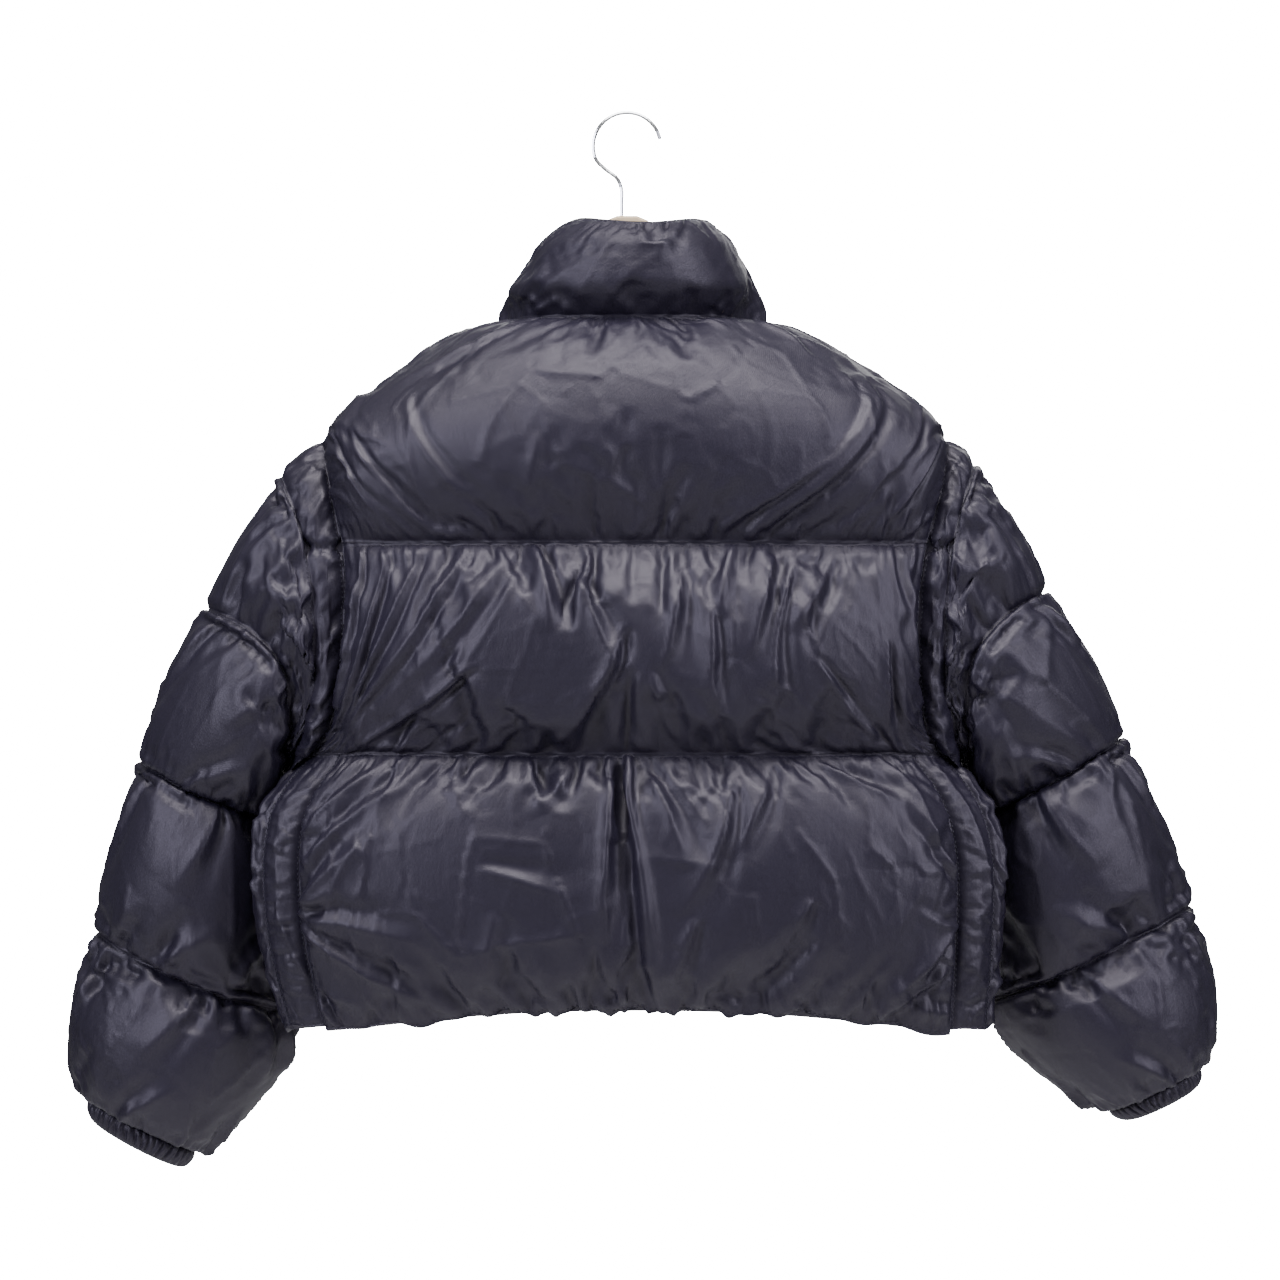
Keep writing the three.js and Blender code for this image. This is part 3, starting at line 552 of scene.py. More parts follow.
def collar_pad(width, height):
    u, v = grid_of(width, height, SPACING)
    share = 1 - v
    angle = mix(
        -zip_angle(-1, lambda turn: collar_point(turn + 0 * v, share)),
        zip_angle(1, lambda turn: collar_point(turn + 0 * v, share)),
        u,
    )
    point = collar_point(angle, share)
    outward = point * (1, 1, 0)
    outward[..., 0] -= share * 10
    outward = unit(outward)
    outward[..., 2] = 0.35 * share
    leaning = smooth(share, 0, 0.35)[..., None]
    direction = unit(mix(body_direction(angle, neck_height(angle)), outward, leaning))
    edge = np.minimum(length(point - point[:, :1]), length(point - point[:, -1:]))
    swell = 19 * np.sin(np.minimum(1, share / 0.4) * np.pi / 2) - 9 * smooth(share, 0.7, 1)
    return point, direction, SEAM_WALL + swell * rise(edge, 26)


print("collar grid", collar_pad(420, 90)[0].shape)

# %% [markdown]
# Here is the list of pads, each with its rough size in millimetres. A grid point is about
# seven millimetres from the next, fine enough for the folds that the filling makes.

# %% All the pads
def all_pads():
    pads = {
        "back_upper": body_pad("upper", "back", 520, 190, 27),
        "back_middle": body_pad("middle", "back", 520, 170, 27),
        "back_lower": body_pad("lower", "back", 540, 215, 27),
        "collar": collar_pad(420, 95),
    }
    for side in ("left", "right"):
        pads[f"front_{side}_upper"] = body_pad("upper", side, 250, 190, 24)
        pads[f"front_{side}_middle"] = body_pad("middle", side, 250, 170, 24)
        pads[f"front_{side}_lower"] = body_pad("lower", side, 290, 215, 24, at_side=0.72)
        pads[f"side_{side}"] = body_pad("lower", f"panel_{side}", 62, 215, 11)
        pads[f"armhole_band_{side}"] = ring_pad(side, 0, 560, 40)
        for number, size in enumerate([(480, 120), (430, 130), (420, 150), (400, 150)], 1):
            pads[f"sleeve_{side}_{number}"] = ring_pad(side, number, *size)
    return pads


pads = all_pads()
closed_round = {name for name in pads if name.startswith(("sleeve", "armhole"))}
print("pads", len(pads), "points", sum(point.shape[0] * point.shape[1] for point, _, _ in pads.values()))

# %% [markdown]
# Down pushes the shell out while the seams hold it in. The shell is cut larger than the
# lining, so it can't lie smooth: it gathers into folds that run away from every seam. Cloth
# does the same here. Each pad's edge is pinned, its cloth is a little too large, and pressure
# blows it up. One pad is blown up after the other, and then no Cloth is left. Near its side
# seams a pad is drawn tight, so there the folds are calmed towards the pad's smooth form.

# %% Blow up the pads
def grid_faces(rows, columns, round_it, offset=0):
    """Four corners of each cell: down, across, up."""
    r, c = np.meshgrid(np.arange(rows - 1), np.arange(columns if round_it else columns - 1), indexing="ij")
    right = (c + 1) % columns
    above, below = r * columns, (r + 1) * columns
    corners = np.stack([above + c, below + c, below + right, above + right], -1)
    return corners.reshape(-1, 4) + offset


def grid_normals(points, round_it):
    """Across the rows and columns: the cross product of the two slopes of the grid."""
    if round_it:
        across = np.roll(points, -1, 1) - np.roll(points, 1, 1)
    else:
        across = np.gradient(points, axis=1)
    return unit(np.cross(np.gradient(points, axis=0), across))


def edge_loops(rows, columns, round_it):
    """The grid's edges as closed loops of point numbers, to be capped."""
    index = np.arange(rows * columns).reshape(rows, columns)
    if round_it:
        return [index[0], index[-1][::-1]]
    return [np.concatenate([index[0], index[1:, -1], index[-1, -2::-1], index[-2:0:-1, 0]])]


def pinned_edge(rows, columns, round_it):
    held = np.zeros((rows, columns), bool)
    held[[0, -1]] = True
    if not round_it:
        held[:, [0, -1]] = True
    return held


# how far the cloth may leave its pad's form: sideways and out in millimetres, in as a share
MOST_ASIDE, MOST_OUT, LEAST_FULL = 5.0, 5, 0.3


def walk(points, axis):
    """The length walked along the grid from its first row or column, in millimetres."""
    steps = length(np.diff(points, axis=axis))
    start = np.zeros_like(np.take(steps, [0], axis=axis))
    return np.concatenate([start, np.cumsum(steps, axis=axis)], axis=axis)


def blown_up(name, pad, frames, excess, pressure):
    """One pad's outer surface after the cloth has settled, kept within the room it has."""
    point, direction, thick = pad
    rows, columns = thick.shape
    round_it = name in closed_round
    held = pinned_edge(rows, columns, round_it)
    begin = point + direction * np.where(held, SEAM_WALL, mix(SEAM_WALL, thick, 0.8))[..., None]
    turned = (grid_normals(begin, round_it) * direction).sum() < 0
    faces = [list(map(int, face)) for face in grid_faces(rows, columns, round_it)]
    faces += [list(map(int, loop)) for loop in edge_loops(rows, columns, round_it)]
    mesh = bpy.data.meshes.new("shell")
    faces = [face[::-1] if turned else face for face in faces]
    mesh.from_pydata((begin.reshape(-1, 3) * MM).tolist(), [], faces)
    shell = bpy.data.objects.new("shell", mesh)
    bpy.context.scene.collection.objects.link(shell)
    shell.vertex_groups.new(name="sewn").add(np.flatnonzero(held.ravel()).tolist(), 1.0, "REPLACE")
    cloth = shell.modifiers.new("down", "CLOTH")
    settings = cloth.settings
    settings.vertex_group_mass = "sewn"
    settings.use_pressure = True
    settings.uniform_pressure_force = pressure
    settings.shrink_min = -excess
    settings.quality = 5
    settings.mass = 0.15
    settings.bending_stiffness = 0.06
    settings.effector_weights.gravity = 0
    cloth.collision_settings.use_collision = False
    for step in range(1, frames + 1):
        bpy.context.scene.frame_set(step)
    result = shell.evaluated_get(bpy.context.evaluated_depsgraph_get()).to_mesh()
    places = np.empty(len(result.vertices) * 3)
    result.vertices.foreach_get("co", places)
    places = places.reshape(rows, columns, 3) / MM
    bpy.context.scene.frame_set(1)
    bpy.data.objects.remove(shell)
    out = ((places - point) * direction).sum(-1)
    aside = places - point - direction * out[..., None]
    aside *= np.minimum(1, MOST_ASIDE / np.maximum(length(aside), 1e-6))[..., None]
    across = walk(point, 1)
    to_side = np.minimum(across, across[:, -1:] - across)
    calm = 0.5 * name.startswith("armhole") if round_it else 0.85 * (1 - smooth(to_side, 20, 150))
    kept = mix(np.clip(out, mix(SEAM_WALL, thick, LEAST_FULL), thick + MOST_OUT), thick, calm)
    return point + direction * kept[..., None] + aside * (1 - np.asarray(calm))[..., None]


EXCESS = {"collar": 0.03, "back_upper": 0.045}
shells = {}
for name, pad in pads.items():
    shells[name] = blown_up(name, pad, frames=18, excess=EXCESS.get(name, 0.08), pressure=2.5)
for name in ("back_upper", "sleeve_left_3"):
    point, direction, thick = pads[name]
    out = ((shells[name] - point) * direction).sum(-1)
    print(name, "thickness", thick.mean().round(1), "blown up", out.mean().round(1), out.max().round(1))

# %% [markdown]
# The blown-up grid is made three times finer with the same cubic curve that drew the body.
# On that fine grid come the small puckers. Cloth drawn up along a thread stands in round
# ridges across the seam, close together at the thread and wider apart further in. Each layer
# is the size of a sine, so its ridges are round and its valleys are sharp.

# %% Finer grid and puckers
FINER = 3


def finer(values, axis, round_it):
    """Cubic through every point, with FINER steps between each two."""
    values = np.moveaxis(values, axis, 0)
    if round_it:
        values = np.concatenate([values[-2:], values, values[:3]])
    count = len(values)
    knots = np.arange(count, dtype=float)
    steps = (count - 6 if round_it else count - 1) * FINER
    at = np.arange(steps + (3 if round_it else 1)) / FINER + (2 if round_it else 0)
    if round_it:
        at = 2 + np.arange((count - 5) * FINER) / FINER
    flat = hermite(knots, values.reshape(count, -1), at)
    return np.moveaxis(flat.reshape(len(at), *values.shape[1:]), 0, axis)


def uneven(place, wide):
    """Smooth chance along a line: random knots this wide apart, from -1 to 1."""
    knots = chance.uniform(-1, 1, 4096)
    k = np.floor(place / wide).astype(int) % 4000
    t = smooth(place / wide - np.floor(place / wide), 0, 1)
    return mix(knots[k], knots[k + 1], t)


# ridge width, height and how far it reaches from the seam, in millimetres
PUCKERS = ((6, 0.35, 9), (11, 0.7, 20), (23, 0.9, 46))


# cell, crease width and height, in millimetres
CRUMPLES = ((38, 4.0, 2.3), (19, 2.4, 0.9))


def puckers(reach, along, strength=1.0):
    total = 0
    for width, high, far in PUCKERS:
        lean = uneven(along, width * 3) * 0.6
        phase = uneven(along, width * 1.7) * 1.6
        vigour = 0.55 + 0.45 * uneven(along, width * 1.3)
        ridge = np.abs(np.sin(np.pi * (along + lean * reach) / width + phase))
        fade = (3 * reach / far) * np.exp(1 - 3 * reach / far)
        total = total + strength * high * vigour * (ridge - 0.6) * fade
    return total


def crease(across, down, start, end, wide, high, bend=0.0):
    """One fold from start to end, in millimetres on the pad. Across it: a sharp crest, which
    falls off as e to the minus distance, and a rounded trough beside it. It is highest near
    its start and fades out to its end. bend bows it sideways."""
    way = np.subtract(end, start).astype(float)
    reach = np.hypot(*way)
    way /= reach
    t = ((across - start[0]) * way[0] + (down - start[1]) * way[1]) / reach
    aside = (across - start[0]) * way[1] - (down - start[1]) * way[0]
    aside = aside - bend * reach * t * (1 - t)
    widening = wide * (0.5 + 0.9 * np.clip(t, 0, 1))
    furrow = np.exp(-(((aside - 1.7 * widening) / (1.2 * widening)) ** 2))
    profile = np.exp(-np.abs(aside) / widening) - 0.9 * furrow
    along = np.clip(t, 0, 1) ** 0.5 * (1 - np.clip(t, 0, 1)) ** 0.8 * 1.75
    return high * profile * along * ((t > 0) & (t < 1))


def seam_creases(across, down, width, height, every, round_it):
    """Small folds that start on the seams at chance places and run into the pad."""
    total = 0
    seams = [("top", width), ("bottom", width)] + ([] if round_it else [("left", height), ("right", height)])
    for seam, far in seams:
        for place in np.arange(chance.uniform(0, every), far, every):
            place += chance.uniform(-0.5, 0.5) * every
            reach = chance.uniform(14, 34) * (2.0 if chance.uniform() < 0.22 else 1.0)
            reach = min(reach, 0.6 * min(width, height))
            lean = chance.uniform(-0.7, 0.7) * reach
            start, way = {
                "top": ((place, 0), (lean, reach)),
                "bottom": ((place, height), (lean, -reach)),
                "left": ((0, place), (reach, lean)),
                "right": ((width, place), (-reach, lean)),
            }[seam]
            side = 1 if chance.uniform() < 0.5 else -1
            fold = crease(
                across * side, down,
                (start[0] * side, start[1]), ((start[0] + way[0]) * side, start[1] + way[1]),
                reach * chance.uniform(0.06, 0.12), reach * chance.uniform(0.035, 0.075),
                chance.uniform(-0.4, 0.4),
            )
            total = total + fold
    return total


def crumple(across, down, width, height, cell, wide, high, round_it):
    """Thin nylon bends in straight creases between flat facets. Each point looks for its two
    nearest centres: a crease stands where they are equally near, e to the minus difference
    over wide. Cells are twice as long down the pad as across it."""
    count = max(6, int(width * height / (2 * cell * cell)))
    centres = chance.uniform(0, 1, (count, 2)) * (width, height)
    vigour = chance.uniform(-0.35, 1.0, 97)
    nearest = np.full((2,) + across.shape, 1e9)
    who = np.zeros((2,) + across.shape, int)
    for number, (x, y) in enumerate(centres):
        aside = np.abs(across - x)
        if round_it:
            aside = np.minimum(aside, width - aside)
        far = np.hypot(aside, (down - y) / 2)
        first, second = far < nearest[0], far < nearest[1]
        nearest[1] = np.where(first, nearest[0], np.where(second, far, nearest[1]))
        who[1] = np.where(first, who[0], np.where(second, number, who[1]))
        nearest[0], who[0] = np.where(first, far, nearest[0]), np.where(first, number, who[0])
    return high * vigour[(who.sum(0) * 31) % len(vigour)] * np.exp(-(nearest[1] - nearest[0]) / wide)


# The main folds: shares across and down the pad at the start and the end, then
# width and height in millimetres, and the bow. Seen from outside, across runs left to right.
MAIN_FOLDS = {
    "back_upper": [
        (0.83, 0.30, 0.66, 0.98, 7, 3, 0.10), (0.80, 0.34, 0.70, 0.70, 5, -2.5, 0.0),
        (0.91, 0.35, 0.80, 0.80, 6, 2, 0.1), (0.95, 0.52, 0.86, 0.95, 5, 3.5, 0.1),
        (0.72, 0.66, 0.60, 0.99, 5, 3, 0.0), (0.20, 0.60, 0.04, 0.50, 7, 1.5, -0.1),
        (0.22, 0.40, 0.30, 0.99, 7, 2.5, 0.1), (0.13, 0.55, 0.20, 0.96, 6, 2.5, 0.0),
        (0.06, 0.55, 0.14, 0.98, 5, 2, 0.0), (0.40, 0.55, 0.34, 0.95, 8, 2.5, 0.1),
        (0.48, 0.45, 0.44, 0.85, 9, 2, 0.1), (0.30, 0.06, 0.16, 0.34, 8, 2.5, 0.1),
        (0.72, 0.05, 0.88, 0.26, 8, 2.5, -0.1), (0.62, 0.02, 0.78, 0.12, 6, 2, 0.0),
    ],
    "back_middle": [
        (0.06, 0.02, 0.00, 0.55, 6, 4, 0.1), (0.12, 0.02, 0.02, 0.80, 7, 4.5, 0.1),
        (0.18, 0.02, 0.06, 0.70, 7, 4, 0.1), (0.26, 0.02, 0.10, 0.72, 8, 4, 0.1),
        (0.33, 0.02, 0.20, 0.60, 8, 3.5, 0.1), (0.30, 0.55, 0.16, 0.98, 8, 4, 0.0),
        (0.36, 0.02, 0.39, 0.42, 7, 6, 0.1), (0.43, 0.05, 0.40, 0.42, 5, -5, 0.0),
        (0.42, 0.14, 0.48, 0.62, 7, 5, 0.1), (0.49, 0.40, 0.42, 0.98, 7, 5.5, 0.1),
        (0.57, 0.12, 0.54, 0.60, 8, 6, 0.1), (0.64, 0.02, 0.62, 0.36, 6, 5, 0.0),
        (0.61, 0.30, 0.58, 0.95, 7, 5, 0.1), (0.70, 0.06, 0.65, 0.55, 8, 6, 0.1),
        (0.73, 0.10, 0.66, 0.98, 7, 5, -0.1), (0.80, 0.05, 0.71, 0.40, 8, 4.5, 0.2),
        (0.89, 0.35, 0.82, 0.90, 7, 4.5, 0.1), (0.95, 0.08, 0.99, 0.50, 6, 3.5, -0.1),
        (0.75, 0.50, 0.80, 0.95, 7, 3, 0.0), (0.53, 0.60, 0.55, 0.98, 6, 4, 0.0),
    ],
    "back_lower": [
        (0.478, 0.0, 0.468, 0.72, 7, 8, 0.03), (0.493, 0.0, 0.515, 0.95, 5, -9, 0.03),
        (0.505, 0.0, 0.50, 0.60, 5, 5, 0.0), (0.53, 0.06, 0.57, 0.45, 7, 5, 0.1),
        (0.64, 0.08, 0.56, 0.62, 8, 5.5, 0.15), (0.70, 0.04, 0.62, 0.40, 7, 4.5, 0.1),
        (0.36, 0.02, 0.40, 0.24, 6, 4.5, 0.0), (0.43, 0.02, 0.40, 0.22, 6, 3.5, 0.0),
        (0.78, 0.04, 0.90, 0.20, 7, 4, -0.2), (0.0, 0.58, 0.18, 0.30, 9, 4.5, 0.15),
        (0.0, 0.58, 0.24, 0.70, 9, 3.5, 0.15), (0.0, 0.60, 0.26, 0.98, 8, 4, 0.0),
        (0.02, 0.30, 0.14, 0.05, 7, 3.5, 0.1), (0.03, 0.40, 0.20, 0.12, 7, 3.5, 0.1),
        (0.99, 0.60, 0.84, 0.92, 8, 5, 0.1), (0.97, 0.78, 0.82, 0.98, 7, 4, 0.0),
        (0.98, 0.45, 0.90, 0.15, 8, 4, 0.1), (0.32, 0.44, 0.44, 0.56, 9, 2.5, 0.1),
        (0.72, 0.55, 0.66, 0.86, 9, 4, 0.1), (0.58, 0.62, 0.54, 0.96, 7, 4, 0.0),
        (0.34, 0.60, 0.30, 0.90, 10, 3, 0.1),
    ],
    "collar": [
        (0.46, 0.0, 0.50, 0.30, 7, 5, 0.1), (0.60, 0.0, 0.53, 0.30, 7, 5, -0.1),
        (0.49, 0.28, 0.56, 0.30, 5, 4, 0.0), (0.32, 0.98, 0.40, 0.84, 5, 3.5, 0.1),
        (0.68, 0.98, 0.60, 0.84, 5, 3.5, 0.1), (0.36, 0.5, 0.28, 0.9, 8, 2.5, 0.0),
    ],
}
OTHER_FOLDS = [
    (0.10, 0.02, 0.04, 0.60, 7, 4, 0.1), (0.28, 0.02, 0.22, 0.55, 8, 4.5, 0.1),
    (0.45, 0.06, 0.52, 0.60, 8, 5, 0.1), (0.63, 0.03, 0.58, 0.50, 7, 4, -0.1),
    (0.82, 0.05, 0.74, 0.62, 8, 4.5, 0.1), (0.20, 0.98, 0.30, 0.60, 8, 4, 0.0),
    (0.50, 0.98, 0.44, 0.62, 7, 4, 0.1), (0.74, 0.98, 0.84, 0.56, 8, 4, 0.1),
    (0.95, 0.50, 0.86, 0.95, 7, 3.5, 0.0),
]


NARROWED, HEIGHTENED = 0.8, 1.6  # of the main folds' widths and heights
BAND_GROOVE = 6.0  # the depth of the quilting line that crosses the armhole band
# a firmer pad shows less of every fold
FIRMNESS = {"collar": 0.6, "back_upper": 0.9}


def hem_wave(x, y):
    """The hem's elastic draws it into uneven scallops, a few millimetres up and down."""
    place = np.arctan2(y, x) * 300
    return 1.6 * np.sin(place / 9) + 1.3 * np.sin(place / 5.3 + 1) + 2.2 * np.sin(place / 23 + 2)


def detailed(name, shell):
    round_it = name in closed_round
    fine = finer(finer(shell, 0, False), 1, round_it)
    normals = grid_normals(fine, round_it)
    if (normals * finer(finer(pads[name][1], 0, False), 1, round_it)).sum() < 0:
        normals = -normals
    down, across = walk(fine, 0), walk(fine, 1)
    up = down[-1:] - down
    raised = puckers(down, across, 1.15) + puckers(up, across + 37, 0.75)
    shares = np.meshgrid(np.linspace(0, 1, fine.shape[1]), np.linspace(0, 1, fine.shape[0]))
    width, height = across[:, -1].mean(), down[-1].mean()
    flat_across, flat_down = shares[0] * width, shares[1] * height
    if not round_it:
        back = across[:, -1:] - across
        raised = raised + puckers(across, down, 0.35) + puckers(back, down + 53, 0.35)
        held = np.minimum(np.minimum(down, up), np.minimum(across, back))
    else:
        held = np.minimum(down, up)
    raised = raised + seam_creases(flat_across, flat_down, width, height, 8.5, round_it)
    for cell, wide, high in CRUMPLES:
        raised = raised + crumple(flat_across, flat_down, width, height, cell, wide, high, round_it)
    shrink = min(1.0, height / 150)
    for u0, v0, u1, v1, wide, high, bend in MAIN_FOLDS.get(name, OTHER_FOLDS if width > 120 else []):
        ends = (u0 * width, v0 * height), (u1 * width, v1 * height)
        size = NARROWED * wide * shrink, HEIGHTENED * high * shrink
        raised = raised + crease(flat_across, flat_down, *ends, *size, bend)
    raised = raised * smooth(held, 0, 6) * FIRMNESS.get(name, 1.0)
    if name.startswith("armhole"):
        raised = raised - BAND_GROOVE * np.exp(-(((fine[..., 2] - YOKE + 3) / 5) ** 2))
    finished = fine + normals * raised[..., None]
    if "lower" in name or name.startswith("side"):
        finished[..., 2] += hem_wave(fine[..., 0], fine[..., 1]) * np.exp(-up / 16)
    return finished, down, across


print("puckers", len(PUCKERS))

# %% [markdown]
# A finished pad is one closed skin: the detailed outside, the plain inner wall at the coarse
# grid, and a narrow strip that joins them at each seam. A strip's faces have six corners,
# four on the fine side and two on the coarse one.

# %% Make the pads
def strip_faces(outer, inner):
    """Between a fine edge and a coarse one, both as rows of point numbers."""
    cells = np.arange(len(inner) - 1)
    fine = [outer[cells * FINER + k] for k in range(FINER + 1)]
    return np.stack([inner[cells], *fine, inner[cells + 1]], -1)


def points_in(fine_normals, outward):
    """Whether a fine grid's normals point into the pad, whose outward ways are on the coarse grid."""
    rows, columns = outward.shape[:2]
    return (fine_normals[::FINER, ::FINER][:rows, :columns] * outward).sum() < 0


def mesh_object(name, points, faces, uv=None, flat_from=None):
    mesh = bpy.data.meshes.new(name)
    mesh.from_pydata((np.asarray(points) * MM).tolist(), [], [list(map(int, face)) for face in faces])
    smooth_faces = np.ones(len(mesh.polygons), bool)
    if flat_from is not None:
        smooth_faces[flat_from:] = False
    mesh.polygons.foreach_set("use_smooth", smooth_faces)
    if uv is not None:
        corners = np.empty(len(mesh.loops), int)
        mesh.loops.foreach_get("vertex_index", corners)
        mesh.uv_layers.new(name="cloth").data.foreach_set("uv", uv[corners].ravel())
    thing = bpy.data.objects.new(name, mesh)
    bpy.context.scene.collection.objects.link(thing)
    return thing


outsides = {}


def finished_pad(name):
    round_it = name in closed_round
    outside, down, across = detailed(name, shells[name])
    outsides[name] = outside
    inside = pads[name][0]
    rows, columns = inside.shape[:2]
    fine_rows, fine_columns = outside.shape[:2]
    outer = np.arange(fine_rows * fine_columns).reshape(fine_rows, fine_columns)
    inner = np.arange(rows * columns).reshape(rows, columns) + outer.size
    ring = lambda row: np.append(row, row[0]) if round_it else row
    strips = [strip_faces(ring(outer[0]), ring(inner[0]))[:, ::-1]]
    strips += [strip_faces(ring(outer[-1]), ring(inner[-1]))]
    if not round_it:
        strips += [strip_faces(outer[:, 0], inner[:, 0]), strip_faces(outer[:, -1], inner[:, -1])[:, ::-1]]
    out_faces = grid_faces(fine_rows, fine_columns, round_it)
    in_faces = grid_faces(rows, columns, round_it, outer.size)[:, ::-1]
    faces = [*out_faces, *in_faces, *np.concatenate(strips)]
    if points_in(grid_normals(outside, round_it), pads[name][1]):
        faces = [face[::-1] for face in faces]
    uv_out = np.stack([across, down], -1).reshape(-1, 2)
    uv_in = np.stack([walk(inside, 1), walk(inside, 0)], -1).reshape(-1, 2)
    points = np.concatenate([outside.reshape(-1, 3), inside.reshape(-1, 3)])
    uv = np.concatenate([uv_out, uv_in]) * MM
    return mesh_object(name + "_cloth", points, faces, uv, len(out_faces) + len(in_faces))


cloth_pieces = {name: finished_pad(name) for name in pads}
for name, piece in cloth_pieces.items():
    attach(piece, "jacket")
    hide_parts(name)
print("faces", sum(len(piece.data.polygons) for piece in cloth_pieces.values()))

# %% [markdown]
# Down-proof nylon is woven so tightly that it shines. Its colour is a very dark navy. A fine
# weave and a faint crinkle go into the bump, and the roughness varies a little with noise.

# %% Nylon
def new_material(name):
    material = bpy.data.materials.new(name)
    material.use_nodes = True
    material.node_tree.nodes.clear()
    return material, Value(material.node_tree, None)


def two_tones(start, share, first, second):
    """A colour between two, by a share from 0 to 1."""
    colours = {"_6": (*first, 1), "_7": (*second, 1)}
    return start.node("ShaderNodeMix", {"data_type": "RGBA"}, out=2, _0=share, **colours)


def finish_material(start, surface, **sockets):
    """A Principled shader with these sockets, and the bump that surface gives."""
    shader = start.node("ShaderNodeBsdfPrincipled", **sockets, Normal=surface)
    output = start.tree.nodes.new("ShaderNodeOutputMaterial")
    start.tree.links.new(shader.socket, output.inputs["Surface"])


def nylon(name, dark, light, crinkle):
    material, start = new_material(name)
    place = start.node("ShaderNodeUVMap", {"uv_map": "cloth"}, out="UV")
    object_place = start.node("ShaderNodeTexCoord", out="Object")
    parts = {k: start.node("ShaderNodeSeparateXYZ", out=k, Vector=place) for k in "XY"}
    warp = start.math("SINE", parts["X"] * 5200)
    weft = start.math("SINE", parts["Y"] * 5200)
    lines = start.node("ShaderNodeCombineXYZ", X=parts["X"] * 230, Y=parts["Y"] * 60)
    fine_lines = start.node("ShaderNodeTexNoise", out="Fac", Vector=lines, Scale=1.0, Detail=3.0)
    fine = start.node("ShaderNodeTexNoise", out="Fac", Vector=object_place, Scale=420.0, Detail=3.0)
    broad = start.node("ShaderNodeTexNoise", out="Fac", Vector=object_place, Scale=9.0, Detail=2.0)
    height = warp * weft * 0.06 + fine * crinkle + fine_lines * 0.35
    bump = start.node("ShaderNodeBump", Height=height, Distance=0.001, Strength=0.5)
    tone = two_tones(start, broad, dark, light)
    roughness = broad * 0.10 + fine * 0.06 + 0.39
    violet = (0.98, 0.91, 1.0, 1)
    finish_material(start, bump, Base_Color=tone, Roughness=roughness, Specular_Tint=violet)
    return material


shell_nylon = nylon("down_proof_nylon", (0.0062, 0.005, 0.0125), (0.011, 0.009, 0.02), 0.25)
for piece in cloth_pieces.values():
    piece.data.materials.append(shell_nylon)
print("nylon nodes", len(shell_nylon.node_tree.nodes))

# %% [markdown]
# Every seam is sewn with one row of lock stitches, which shows on its lower side in the groove.
# A stitch is a small lozenge: two ends, two sides, a top and a bottom. The seams down the
# body's sides are sewn beside their edge, and the hem and the sleeves' ends get a row too.

# %% Stitches
STITCH_PITCH, STITCH_HALF, THREAD_HALF = 4.2, 1.45, 0.4


def stitch_row(places, ways, round_it):
    """Lozenges along a row of points, one each STITCH_PITCH, lying on the cloth."""
    if round_it:
        places, ways = np.concatenate([places, places[:1]]), np.concatenate([ways, ways[:1]])
    walked = walk(places, 0)
    at = np.arange(STITCH_PITCH / 2, walked[-1], STITCH_PITCH)
    along_row = lambda values, where: np.stack([np.interp(where, walked, values[:, k]) for k in range(3)], -1)
    start, end = along_row(places, at - STITCH_HALF), along_row(places, at + STITCH_HALF)
    up = unit(along_row(ways, at))
    side = unit(np.cross(up, end - start)) * THREAD_HALF
    middle, up = (start + end) / 2 + up * 0.2, up * THREAD_HALF
    return np.stack([start, end, middle + side, middle - side, middle + up, middle - up], 1)


def sewn_rows(name):
    outside, round_it = outsides[name], name in closed_round
    ways = grid_normals(outside, round_it)
    if points_in(ways, pads[name][1]):
        ways = -ways
    rows = [(outside[1], ways[1], round_it)]
    if "lower" in name or name.startswith("side") or name.endswith("_4"):
        rows.append((outside[-2], ways[-2], round_it))
    if not round_it and name != "collar":
        rows += [(outside[:, 1], ways[:, 1], False), (outside[:, -2], ways[:, -2], False)]
    return [stitch_row(*row) for row in rows]


stitches = np.concatenate([row for name in pads for row in sewn_rows(name)])
lozenge = np.array([(0, 2, 4), (2, 1, 4), (1, 3, 4), (3, 0, 4), (2, 0, 5), (1, 2, 5), (3, 1, 5), (0, 3, 5)])
lozenge_faces = (lozenge[None] + 6 * np.arange(len(stitches))[:, None, None]).reshape(-1, 3)
sewing = mesh_object("stitches", stitches.reshape(-1, 3), lozenge_faces)
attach(sewing, "jacket")
thread_material, start = new_material("thread")
twist = start.node("ShaderNodeTexCoord", out="Object")
strand = start.node("ShaderNodeTexNoise", out="Fac", Vector=twist, Scale=900.0, Detail=1.0)
thread_bump = start.node("ShaderNodeBump", Height=strand, Distance=0.0003, Strength=0.4)
finish_material(start, thread_bump, Base_Color=(0.022, 0.02, 0.034, 1), Roughness=strand * 0.1 + 0.5)
sewing.data.materials.append(thread_material)
print("stitches", len(stitches))

# %% [markdown]
# The cuffs are short casings drawn up by an elastic, so their cloth stands in narrow upright
# pleats. A pleat is again the size of a sine; the casing itself bows out like half a circle.

# %% Cuffs
CUFF_COLUMNS, CUFF_ROWS, CUFF_PLEATS = 384, 14, 38


